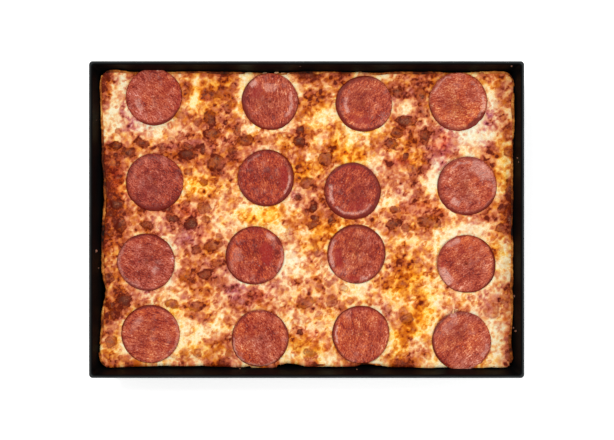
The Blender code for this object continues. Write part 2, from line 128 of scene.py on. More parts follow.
class Shader:
    """A material and short ways to add nodes to it."""

    def __init__(self, name):
        self.material = bpy.data.materials.new(name)
        self.material.use_nodes = True
        self.tree = self.material.node_tree
        self.principled = self.tree.nodes["Principled BSDF"]
        self.place = self.tree.nodes.new("ShaderNodeTexCoord").outputs["Object"]

    def link(self, source, target):
        if isinstance(source, bpy.types.NodeSocket):
            self.tree.links.new(source, target)
        else:
            target.default_value = source

    def set(self, socket, value):
        self.link(value, self.principled.inputs[socket])

    def mask(self, name, output="Fac"):
        node = self.tree.nodes.new("ShaderNodeAttribute")
        node.attribute_name = name
        return node.outputs[output]

    def noise(self, scale, detail=3.0, roughness=0.55, vector=None, distortion=0.0):
        node = self.tree.nodes.new("ShaderNodeTexNoise")
        self.link(self.place if vector is None else vector, node.inputs["Vector"])
        node.inputs["Scale"].default_value = scale
        node.inputs["Detail"].default_value = detail
        node.inputs["Roughness"].default_value = roughness
        node.inputs["Distortion"].default_value = distortion
        return node.outputs["Fac"]

    def fibrous(self, vector, scales, detail=3.0, roughness=0.6, distortion=0.0):
        """Noise along a vector, with its own number of lumps to a metre each way."""
        node = self.tree.nodes.new("ShaderNodeMapping")
        self.link(vector, node.inputs["Vector"])
        node.inputs["Scale"].default_value = scales
        return self.noise(1.0, detail, roughness, node.outputs["Vector"], distortion)

    def math(self, operation, first, second=0.0, clamp=False):
        node = self.tree.nodes.new("ShaderNodeMath")
        node.operation = operation
        node.use_clamp = clamp
        self.link(first, node.inputs[0])
        self.link(second, node.inputs[1])
        return node.outputs[0]

    def plus(self, first, second, clamp=False):
        return self.math("ADD", first, second, clamp)

    def times(self, first, second, clamp=False):
        return self.math("MULTIPLY", first, second, clamp)

    def spread(self, value, low, high, to_low=0.0, to_high=1.0):
        node = self.tree.nodes.new("ShaderNodeMapRange")
        self.link(value, node.inputs["Value"])
        ends = (("From Min", low), ("From Max", high), ("To Min", to_low), ("To Max", to_high))
        for socket, number in ends:
            node.inputs[socket].default_value = number
        return node.outputs["Result"]

    def change(self, noise, low, high):
        """A noise texture turned into a change between two values."""
        return self.spread(noise, NOISE_LOW, NOISE_HIGH, low, high)

    def band(self, value, start, full, end=None, gone=None):
        """A rise from nothing at start to one at full, then if given a fall from end to gone."""
        rise = self.spread(value, start, full)
        if end is None:
            return rise
        return self.times(rise, self.spread(value, end, gone, 1.0, 0.0))

    def dots(self, scale, size, softness):
        """Small round dots of uneven size, one where a dot is and nothing between them."""
        node = self.tree.nodes.new("ShaderNodeTexVoronoi")
        self.link(self.place, node.inputs["Vector"])
        node.inputs["Scale"].default_value = scale
        uneven = self.change(self.noise(scale * 0.8, 2.0), -0.14, 0.14)
        return self.spread(self.plus(node.outputs["Distance"], uneven), size, size + softness, 1.0, 0.0)

    def ramp(self, factor, stops):
        node = self.tree.nodes.new("ShaderNodeValToRGB")
        self.link(factor, node.inputs["Fac"])
        elements = node.color_ramp.elements
        while len(elements) < len(stops):
            elements.new(0.5)
        for element, (position, color) in zip(elements, stops):
            element.position = position
            element.color = (*linear(*color), 1.0)
        return node.outputs["Color"]

    def mix(self, factor, first, second, blend="MIX"):
        node = self.tree.nodes.new("ShaderNodeMix")
        node.data_type = "RGBA"
        node.blend_type = blend
        self.link(factor, node.inputs[0])
        for source, target in ((first, node.inputs[6]), (second, node.inputs[7])):
            if isinstance(source, tuple):
                target.default_value = (*linear(*source), 1.0)
            else:
                self.link(source, target)
        return node.outputs[2]

    def shift_hue(self, color, hue, tone, warm_shift, cool_shift):
        """More orange where the hue is above nothing and pinker where it is below, by tone."""
        warm = self.times(self.math("MAXIMUM", hue, 0.0), self.spread(tone, 0.0, 1.0, *warm_shift))
        cool = self.times(self.math("MAXIMUM", self.times(hue, -1.0), 0.0),
                         self.spread(tone, 0.0, 1.0, *cool_shift))
        parts = self.tree.nodes.new("ShaderNodeSeparateColor")
        self.link(color, parts.inputs["Color"])
        gain = self.math("EXPONENT", self.plus(warm, cool))
        joined = self.tree.nodes.new("ShaderNodeCombineColor")
        for channel, shift in (("Red", RED_SHIFT), ("Green", GREEN_SHIFT)):
            change = self.math("EXPONENT", self.times(hue, shift))
            self.link(self.times(parts.outputs[channel], change), joined.inputs[channel])
        self.link(self.times(parts.outputs["Blue"], gain), joined.inputs["Blue"])
        return joined.outputs["Color"]

    def bump(self, height, distance, strength=1.0, normal=None):
        node = self.tree.nodes.new("ShaderNodeBump")
        self.link(height, node.inputs["Height"])
        node.inputs["Distance"].default_value = distance
        node.inputs["Strength"].default_value = strength
        if normal is not None:
            self.link(normal, node.inputs["Normal"])
        return node.outputs["Normal"]


# The cheese's textures, as lumps to a metre, octaves and roughness
CHEESE_GRAIN = (430.0, 3.0, 0.66)
CHEESE_FINE_GRAIN = (1200.0, 2.0, 0.6)
CHEESE_TINT = (220.0, 3.0, 0.6)
BLISTER_SPECKLE = (800.0, 3.0, 0.7)
RING_BREAKS = (260.0, 2.0)
GLEAM_BREAKS = (950.0, 2.0)

# Small browned dots, as dots to a metre, size and softness, and how much browner the larger ones are
SMALL_DOTS = (330.0, 0.2, 0.14)
LARGE_DOTS = (170.0, 0.22, 0.16)
DOT_TONE = 0.2

# Colours by how browned the cheese is
CHEESE_TONES = (
    (0.00, (253, 237, 196)),
    (0.06, (252, 222, 165)),
    (0.17, (249, 202, 139)),
    (0.33, (238, 165, 103)),
    (0.52, (221, 130, 76)),
    (0.72, (196, 99, 56)),
    (0.88, (172, 73, 32)),
    (1.00, (106, 30, 9)),
)
BURNT_COLOR = (98, 48, 34)
RING_COLOR = (84, 12, 1)
SHEEN_COLOR = (150, 96, 70)
SAUCE_TINT = (252, 176, 160)
WARM_SHIFT = (-0.32, -3.9)
COOL_SHIFT = (0.18, 1.4)


def cheese_tone(shader, grain, fine_grain):
    """How browned the cheese looks, with its grain and its small dots."""
    tone = shader.plus(shader.mask("tone"), shader.change(grain, -0.1, 0.09))
    tone = shader.plus(tone, shader.change(fine_grain, -0.07, 0.06))
    tone = shader.plus(tone, shader.times(shader.dots(*SMALL_DOTS), 0.5 * DOT_TONE))
    return shader.plus(tone, shader.times(shader.dots(*LARGE_DOTS), DOT_TONE), clamp=True)


def blister_colors(shader, color, grain):
    """Adds the dark tops and rings of the blisters, the burnt places and the gleams on them."""
    blister = shader.plus(shader.mask("blister"), shader.change(grain, -0.16, 0.16))
    dark = shader.mask("dark")
    speckle = shader.spread(shader.noise(*BLISTER_SPECKLE), 0.36, 0.62, 0.3, 1.1)
    core = shader.times(shader.band(blister, 0.25, 0.55), shader.spread(dark, 0.5, 0.95, 0.0, 0.85))
    color = shader.mix(shader.times(core, speckle, True), color, BURNT_COLOR)
    ring = shader.band(blister, -0.04, 0.08, 0.2, 0.38)
    ring = shader.times(ring, shader.spread(dark, 0.35, 0.9, 0.0, 0.9))
    breaks = shader.spread(shader.noise(*RING_BREAKS), 0.36, 0.58, 0.35, 1.0)
    color = shader.mix(shader.times(ring, breaks, True), color, RING_COLOR)
    color = shader.mix(shader.times(shader.mask("char"), speckle, True), color, BURNT_COLOR)
    gleam = shader.spread(shader.noise(*GLEAM_BREAKS), 0.44, 0.6)
    return shader.mix(shader.times(shader.mask("sheen"), gleam, True), color, SHEEN_COLOR)


def cheese_material():
    shader = Shader("melted_cheese")
    grain = shader.noise(*CHEESE_GRAIN)
    fine_grain = shader.noise(*CHEESE_FINE_GRAIN)
    tone = cheese_tone(shader, grain, fine_grain)
    hue = shader.plus(shader.mask("warmth"), shader.change(shader.noise(*CHEESE_TINT), -0.44, 0.44))
    color = shader.shift_hue(shader.ramp(tone, CHEESE_TONES), hue, tone, WARM_SHIFT, COOL_SHIFT)
    color = shader.mix(shader.mask("sauce"), color, SAUCE_TINT, "MULTIPLY")
    shader.set("Base Color", blister_colors(shader, color, grain))
    shader.set("Roughness", shader.spread(shader.plus(shader.mask("warmth"), grain), 0.3, 1.2, 0.5, 0.26))
    shader.set("Specular IOR Level", 0.06)
    relief = shader.plus(shader.times(grain, 0.65), shader.times(fine_grain, 0.35))
    shader.set("Normal", shader.bump(relief, 0.8 * MM, 0.6))
    return shader.material


# The meat's textures, as lumps to a metre along its grain, across it and through it
MEAT_FIBRES = (300.0, 760.0, 300.0)
MEAT_CRUMBS = (700.0, 900.0, 700.0)
MEAT_BLOTCHES = (120.0, 150.0, 120.0)
MEAT_FLECKS = (560.0, 640.0, 560.0)
MEAT_STREAKS = (340.0, 620.0, 340.0)

# Colours by how light the meat is
MEAT_TONES = (
    (0.00, (110, 12, 1)),
    (0.18, (150, 34, 8)),
    (0.36, (174, 63, 33)),
    (0.52, (192, 82, 50)),
    (0.68, (209, 105, 71)),
    (0.84, (232, 136, 100)),
    (1.00, (250, 194, 162)),
)
# Dark red of the slices' edges, also used as painted shade on their sloping sides
MEAT_RIM_AND_SHADE = (112, 20, 6)
MEAT_WET = (156, 20, 16)
# Pale pink of fat flecks and of painted highlights on the slices' glossy parts
MEAT_FAT_AND_HIGHLIGHT = (226, 166, 150)


def meat_material():
    shader = Shader("pepperoni_meat")
    grain = shader.mask("grain", "Vector")
    fibres = shader.fibrous(grain, MEAT_FIBRES, roughness=0.62, distortion=1.0)
    crumbs = shader.fibrous(grain, MEAT_CRUMBS, roughness=0.7)
    blotches = shader.fibrous(grain, MEAT_BLOTCHES)
    flecks = shader.fibrous(grain, MEAT_FLECKS, detail=2.0, roughness=0.5)
    streaks = shader.fibrous(grain, MEAT_STREAKS, roughness=0.7, distortion=2.5)
    tone = shader.plus(shader.spread(fibres, 0.25, 0.75, -0.22, 0.56), shader.change(crumbs, -0.3, 0.36))
    tone = shader.plus(tone, shader.change(blotches, -0.04, 0.54))
    tone = shader.plus(tone, shader.mask("light"), clamp=True)
    color = shader.ramp(tone, MEAT_TONES)
    color = shader.shift_hue(color, shader.mask("ruddy"), 1.0, (0.0, -0.62), (0.0, 0.5))
    color = shader.mix(shader.times(shader.spread(flecks, 0.63, 0.72), 0.5, True), color, MEAT_FAT_AND_HIGHLIGHT)
    # Pale patches and arcs: paler meat and painted highlights
    pale = shader.times(shader.mask("pale"), shader.spread(streaks, 0.44, 0.58, 0.25), True)
    color = shader.mix(pale, color, MEAT_FAT_AND_HIGHLIGHT)
    color = shader.mix(shader.times(shader.mask("wet"), 0.75, True), color, MEAT_WET)
    # Darker edges, partly painted shade
    color = shader.mix(shader.times(shader.mask("rim"), 0.92, True), color, MEAT_RIM_AND_SHADE)
    shader.set("Base Color", color)
    shader.set("Roughness", shader.change(blotches, 0.46, 0.26))
    shader.set("Specular IOR Level", 0.22)
    relief = shader.plus(shader.times(fibres, 0.5), shader.times(crumbs, 0.5))
    shader.set("Normal", shader.bump(relief, 0.8 * MM, 0.9))
    return shader.material


CRUST_GRAIN = (430.0, 4.0, 0.65)
CRUST_FINE_GRAIN = (1700.0, 2.0, 0.6)
CRUST_TONES = (
    (0.0, (26, 10, 5)),
    (0.35, (96, 38, 12)),
    (0.6, (164, 84, 28)),
    (0.82, (214, 134, 58)),
    (1.0, (240, 186, 102)),
)


def crust_material():
    shader = Shader("baked_dough")
    grain = shader.noise(*CRUST_GRAIN)
    tone = shader.plus(shader.mask("toast"), shader.change(grain, -0.16, 0.16))
    tone = shader.plus(tone, shader.change(shader.noise(*CRUST_FINE_GRAIN), -0.08, 0.08), clamp=True)
    shader.set("Base Color", shader.ramp(tone, CRUST_TONES))
    shader.set("Roughness", shader.change(grain, 0.6, 0.8))
    shader.set("Specular IOR Level", 0.1)
    shader.set("Normal", shader.bump(grain, 0.8 * MM, 0.9))
    return shader.material


PAN_COAT = (90.0, 4.0, 0.6)
PAN_FINE_GRAIN = (900.0, 3.0, 0.6)
PAN_TONES = ((0.3, (8, 8, 9)), (0.7, (13, 13, 14)))
# Lighter grey on the rim's bead: a painted reflection on its top and outer side
PAN_GREASE_AND_REFLECTION = (17, 12, 9)
# Brown of baked-on grease; in a band on the inner wall above the pizza it is also a painted reflection of the
# pizza
PAN_RIM_GLEAM = (56, 59, 60)


def pan_material():
    shader = Shader("pan_metal")
    coat = shader.noise(*PAN_COAT)
    fine = shader.noise(*PAN_FINE_GRAIN)
    color = shader.mix(shader.times(shader.mask("grease_and_reflection"), 0.8), shader.ramp(coat, PAN_TONES), PAN_GREASE_AND_REFLECTION)
    # Painted reflection on the rim's bead
    shader.set("Base Color", shader.mix(shader.mask("painted_rim_gleam"), color, PAN_RIM_GLEAM))
    shader.set("Specular IOR Level", 0.02)
    shader.set("Roughness", shader.spread(shader.plus(coat, shader.times(fine, 0.4)), 0.4, 1.0, 0.42, 0.6))
    shader.set("Normal", shader.bump(fine, 0.15 * MM, 0.35))
    return shader.material


BIT_GRAIN = (700.0, 3.0, 0.6)
BIT_TONES = ((0.3, (186, 110, 66)), (0.5, (226, 166, 116)), (0.72, (248, 212, 170)))
CRUMB_GRAIN = (800.0, 3.0, 0.6)
CRUMB_TONES = ((0.3, (84, 44, 30)), (0.7, (170, 116, 92)))


def grainy_material(name, texture, tones, roughness, relief, strength):
    """A surface whose colour and relief both follow one grain."""
    shader = Shader(name)
    grain = shader.noise(*texture)
    shader.set("Base Color", shader.ramp(grain, tones))
    shader.set("Roughness", roughness)
    shader.set("Normal", shader.bump(grain, relief, strength))
    return shader


def bit_material():
    shader = grainy_material("cheese_bit", BIT_GRAIN, BIT_TONES, 0.45, 0.3 * MM, 0.6)
    shader.set("Specular IOR Level", 0.2)
    return shader.material


def crumb_material():
    return grainy_material("crumbs", CRUMB_GRAIN, CRUMB_TONES, 0.7, 0.4 * MM, 0.8).material


FLOOR_GLOW = 0.42
FLOOR_TONES = ((0.3, (252, 252, 252)), (0.7, (255, 255, 255)))


def floor_material():
    shader = Shader("pale_floor")
    shader.set("Base Color", shader.ramp(shader.noise(3.0, 2.0), FLOOR_TONES))
    shader.set("Roughness", 0.8)
    shader.set("Emission Color", (1.0, 1.0, 1.0, 1.0))
    shader.set("Emission Strength", FLOOR_GLOW)
    return shader.material


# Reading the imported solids

BEYOND_CRUST = 14 * MM


def solid_tree(name):
    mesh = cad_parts[name].data
    corners = [vertex.co.copy() for vertex in mesh.vertices]
    return BVHTree.FromPolygons(corners, [tuple(face.vertices) for face in mesh.polygons])


def height_above(tree, x, y):
    hit = tree.ray_cast(Vector((x, y, 2 * RIM_HEIGHT)), Vector((0, 0, -1)))
    return hit[0].z if hit[0] is not None else None


def height_below(tree, x, y):
    hit = tree.ray_cast(Vector((x, y, -RIM_HEIGHT)), Vector((0, 0, 1)))
    return hit[0].z if hit[0] is not None else None


def side_point(tree, place, outward, height):
    """Where the crust's outer side is, level with a height, straight out from a place."""
    start = Vector((place[0] + outward[0] * BEYOND_CRUST, place[1] + outward[1] * BEYOND_CRUST, height))
    hit = tree.ray_cast(start, Vector((-outward[0], -outward[1], 0.0)))
    return (hit[0].x, hit[0].y) if hit[0] is not None else place


def flat_loop(name, height):
    """The solid's corners at one height, in order round the middle, leaving out the middle itself."""
    places = {(round(v.co.x, 6), round(v.co.y, 6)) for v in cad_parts[name].data.vertices
              if abs(v.co.z - height) < 0.02 * MM and v.co.xy.length > 20 * MM}
    return np.array(sorted(places, key=lambda place: math.atan2(place[1], place[0])))


def spaced(points, count, closed):
    """Evenly spaced places along a line of points."""
    line = np.vstack([points, points[:1]]) if closed else points
    steps = np.hypot(*np.diff(line, axis=0).T)
    along = np.concatenate([[0.0], np.cumsum(steps)])
    wanted = np.linspace(0.0, along[-1], count, endpoint=not closed)
    return np.column_stack([np.interp(wanted, along, line[:, axis]) for axis in (0, 1)])


def blurred(values, reach, wrap=False):
    """Values smoothed along both axes by a bell curve of the given reach in grid steps."""
    steps = np.arange(-math.ceil(2.5 * reach), math.ceil(2.5 * reach) + 1)
    weights = np.exp(-0.5 * (steps / reach) ** 2)
    weights /= weights.sum()
    for axis in (0, 1):
        pad = [(0, 0), (0, 0)]
        pad[axis] = (len(steps) // 2, len(steps) // 2)
        padded = np.pad(values, pad, mode="wrap" if wrap and axis == 1 else "edge")
        size = values.shape[axis]
        values = sum(w * np.take(padded, range(i, i + size), axis=axis) for i, w in enumerate(weights))
    return values


# Building meshes

def add_piece(name, mesh, surface, replaced=()):
    """Puts a mesh into the scene with its material, as a piece that rides with the part."""
    mesh.materials.append(surface)
    piece = bpy.data.objects.new(name, mesh)
    bpy.context.scene.collection.objects.link(piece)
    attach(piece, "root")
    if replaced:
        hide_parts(*replaced)


def new_piece(name, vertices, faces, surface, replaced, masks, sharp=None):
    mesh = bpy.data.meshes.new(name)
    mesh.from_pydata([tuple(v) for v in vertices], [], [tuple(f) for f in faces])
    mesh.update()
    mesh.shade_smooth()
    if sharp is not None:
        mesh.set_sharp_from_angle(angle=math.radians(sharp))
    for mask_name, values in masks.items():
        values = np.asarray(values, dtype=np.float32)
        kind, field = ("FLOAT_VECTOR", "vector") if values.ndim == 2 else ("FLOAT", "value")
        mesh.attributes.new(mask_name, kind, "POINT").data.foreach_set(field, values.ravel())
    add_piece(name, mesh, surface, replaced)


def grid_faces(rows, columns, closed):
    """Quads of a grid of points; a closed one joins its last column to its first."""
    faces = []
    for row in range(rows - 1):
        for column in range(columns if closed else columns - 1):
            beside = (column + 1) % columns
            faces.append((row * columns + column, row * columns + beside,
                          (row + 1) * columns + beside, (row + 1) * columns + column))
    return faces


def grid_border(rows, columns):
    """The numbers of a grid's outermost points, in order round it."""
    numbers = np.arange(rows * columns).reshape(rows, columns)
    front, back = numbers[0], numbers[-1, -2::-1]
    right, left = numbers[1:, -1], numbers[-2:0:-1, 0]
    return np.concatenate([front, right, back, left]).tolist()


def belt(upper, lower):
    """Quads between an upper and a lower ring of points, given by their numbers."""
    count = len(upper)
    return [(lower[i], lower[(i + 1) % count], upper[(i + 1) % count], upper[i]) for i in range(count)]


def fan(hub, first, count, below=False):
    """Triangles from a ring of points to one point in its middle, facing up or down."""
    pairs = [(first + i, first + (i + 1) % count) for i in range(count)]
    return [(hub, b, a) if below else (hub, a, b) for a, b in pairs]


# Cheese

CHEESE_STEP = 1.0 * MM
CHEESE_BASE = 31.5 * MM
CHEESE_SMOOTHING = 1.5

# The solid's top is looked up, and the underside lies, a little inside the outline
TOP_PULL = 0.9985
UNDER_PULL = 0.998

# How far the cheese runs over the crust's lip: all round, then further at the back, front and right
FRICO_REACH = 1.2 * MM
BACK_REACH = 1.0 * MM
FRONT_REACH = 2.4 * MM
RIGHT_REACH = 1.2 * MM
EDGE_BAND = 9 * MM
EDGE_DROP = 0.3 * MM
FRONT_LIFT = 1.5 * MM

# The stretch of the front edge where the crust shows, as centre and half length in photo pixels
FRONT_GAP = (371, 13)

# The height at which the crust's outer side is looked up, and how much further out it is at its lip
CRUST_SIDE_LEVEL = 35.0 * MM
CRUST_SIDE_LEAN = 0.3 * MM
MOST_DRAWN_BACK = 5 * MM

# Small browned spots: how many are tried, their radii, how close they lie and the smallest burnt one
SPOT_TRIES = 14000
SPOT_SMALL = 1.3 * MM
SPOT_LARGE = 4.0 * MM
SPOT_SPACING = 0.62
SPOT_CHAR_LEAST = 2.5 * MM
SPOT_CELL = 4.0 * MM
SPECK_COUNT = 1300

BLISTER_LIFT = 0.9 * MM
BUBBLE_LIFT = 1.0 * MM
ZONE_STRENGTH = 0.5
NO_BLISTER = -0.6

# The colour masks of the cheese, and their values on its underside
CHEESE_MASKS = (
    ("tone", 0.85), ("char", 0.0), ("blister", NO_BLISTER), ("dark", 0.0), ("sheen", 0.0),
    ("sauce", 0.0), ("warmth", 0.0),
)

# Soft zones of the cheese in photo pixels: across, down, half sizes, and how much paler they are
PALE_ZONES = (
    (170, 72, 8, 5, 1.0), (366, 72, 16, 5, 1.6), (281, 73, 12, 5, 2.4), (382, 73, 9, 5, 1.2),
    (408, 73, 5, 4, 0.5), (216, 74, 6, 5, 0.4), (246, 74, 8, 6, 1.1), (412, 75, 8, 5, 0.6),
    (284, 76, 8, 4, 0.5), (192, 78, 10, 4, 0.5), (120, 84, 10, 14, 0.5), (198, 84, 6, 8, 1.0),
    (240, 86, 6, 8, 0.6), (196, 92, 6, 7, 0.6), (298, 92, 5, 8, 0.8), (491, 98, 7, 14, 1.0),
    (120, 100, 10, 14, 0.6), (195, 105, 10, 8, 0.9), (424, 106, 5, 6, 0.4), (234, 108, 5, 6, 0.5),
    (240, 108, 5, 16, 0.8), (410, 108, 5, 6, 0.6), (396, 109, 10, 7, 1.5), (347, 110, 6, 12, 0.8),
    (330, 112, 8, 8, 0.2), (112, 117, 8, 14, 1.2), (318, 121, 14, 8, 1.4), (120, 124, 6, 5, 0.7),
    (246, 124, 5, 5, 0.4), (284, 124, 9, 5, 1.2), (348, 124, 5, 9, 1.5), (180, 126, 12, 6, 0.4),
    (428, 126, 5, 5, 0.4), (152, 127, 15, 5, 1.0), (380, 127, 6, 9, 1.7), (478, 128, 9, 7, 0.9),
    (252, 129, 9, 5, 1.8), (475, 129, 18, 12, 1.8), (276, 130, 5, 6, 0.4), (140, 134, 6, 4, 0.4),
    (268, 134, 12, 4, 0.6), (104, 136, 5, 9, 1.5), (364, 136, 8, 8, 0.9), (156, 138, 7, 6, 0.9),
    (286, 138, 7, 6, 1.1), (346, 139, 9, 8, 1.3), (119, 140, 6, 5, 0.7), (170, 140, 6, 5, 0.5),
    (198, 140, 5, 5, 0.4), (318, 142, 8, 10, 0.8), (472, 152, 10, 6, 1.5), (392, 153, 5, 5, 0.6),
    (140, 156, 5, 4, 0.8), (474, 156, 6, 5, 0.5), (315, 157, 6, 5, 1.1), (308, 158, 5, 5, 1.3),
    (316, 158, 7, 7, 0.5), (373, 159, 8, 7, 1.4), (503, 165, 6, 18, 1.2), (327, 170, 5, 5, 0.2),
    (316, 172, 6, 5, 0.5), (384, 172, 8, 6, 0.8), (188, 174, 5, 8, 0.5), (398, 174, 8, 6, 0.6),
    (433, 177, 9, 13, 1.2), (505, 185, 4, 10, 0.9), (188, 186, 6, 7, 0.5), (430, 189, 7, 6, 1.2),
    (196, 190, 14, 6, 0.5), (488, 190, 5, 6, 1.0), (496, 192, 10, 8, 0.5), (394, 203, 9, 6, 1.8),
    (124, 205, 6, 5, 0.8), (290, 205, 6, 6, 0.7), (379, 205, 6, 6, 1.5), (445, 205, 6, 10, 0.7),
    (138, 206, 5, 4, 0.5), (264, 211, 16, 6, 1.0), (228, 212, 16, 20, 0.8), (450, 218, 8, 6, 0.6),
    (158, 220, 9, 6, 0.5), (478, 220, 7, 5, 0.5), (300, 222, 5, 6, 0.8), (396, 222, 5, 5, 0.5),
    (412, 224, 6, 6, 0.3), (276, 226, 12, 9, 1.1), (468, 229, 22, 9, 1.3), (282, 232, 7, 8, 1.1),
    (136, 235, 7, 4, 1.2), (306, 235, 9, 5, 1.2), (204, 238, 7, 6, 0.5), (380, 238, 8, 6, 1.4),
    (392, 238, 6, 5, 0.6), (408, 238, 8, 5, 0.6), (176, 240, 8, 11, 0.5), (436, 240, 14, 10, 1.2),
    (446, 242, 6, 5, 0.5), (292, 250, 7, 12, 0.4), (426, 252, 6, 8, 0.3), (442, 254, 5, 7, 0.6),
    (498, 260, 7, 12, 0.8), (170, 262, 7, 20, 1.4), (298, 262, 16, 16, 1.2), (507, 264, 6, 18, 1.8),
    (278, 266, 6, 7, 0.8), (328, 270, 8, 6, 0.6), (428, 276, 12, 16, 0.8), (246, 280, 8, 5, 0.8),
    (124, 284, 6, 5, 0.5), (246, 284, 6, 6, 0.7), (330, 284, 6, 6, 0.8), (412, 284, 5, 6, 0.8),
    (442, 284, 5, 6, 0.6), (314, 285, 6, 6, 0.6), (182, 286, 13, 8, 0.9), (216, 286, 5, 5, 0.5),
    (290, 286, 20, 6, 0.4), (355, 288, 16, 7, 1.6), (494, 288, 7, 12, 1.0), (316, 292, 5, 5, 0.2),
    (168, 298, 5, 4, 0.5), (108, 299, 6, 6, 0.8), (284, 299, 9, 6, 1.3), (396, 299, 14, 9, 0.8),
    (456, 300, 14, 5, 0.8), (344, 302, 6, 5, 0.5), (430, 305, 8, 14, 0.7), (160, 310, 6, 5, 0.5),
    (504, 312, 6, 14, 0.9), (168, 315, 5, 6, 1.2), (284, 316, 7, 8, 1.1), (378, 316, 5, 6, 1.5),
    (474, 316, 6, 5, 1.0), (300, 317, 6, 6, 0.5), (178, 318, 6, 8, 0.7), (219, 318, 5, 6, 0.8),
    (164, 320, 4, 5, 1.0), (318, 322, 16, 6, 0.8), (220, 324, 6, 10, 0.5), (190, 328, 19, 9, 1.3),
    (236, 330, 6, 6, 1.7), (320, 332, 14, 6, 0.7), (392, 334, 5, 6, 0.4), (424, 334, 11, 9, 1.1),
    (492, 338, 6, 24, 1.7), (198, 342, 7, 9, 0.9), (178, 346, 7, 11, 1.1), (388, 346, 8, 10, 1.0),
    (320, 347, 11, 7, 0.6), (104, 348, 5, 6, 0.4), (118, 348, 8, 5, 1.1), (250, 350, 4, 8, 0.5),
    (284, 350, 7, 9, 1.9), (404, 350, 16, 6, 0.4), (436, 352, 8, 8, 0.5), (300, 354, 14, 6, 0.8),
    (160, 360, 14, 5, 2.2), (328, 361, 12, 4, 1.6), (440, 361, 13, 6, 2.2), (194, 362, 10, 5, 1.5),
    (240, 362, 8, 4, 0.6), (380, 363, 12, 4, 1.3), (496, 363, 10, 5, 1.3), (156, 365, 8, 4, 0.6),
    (346, 365, 8, 4, 0.6), (438, 365, 12, 5, 1.6),
)

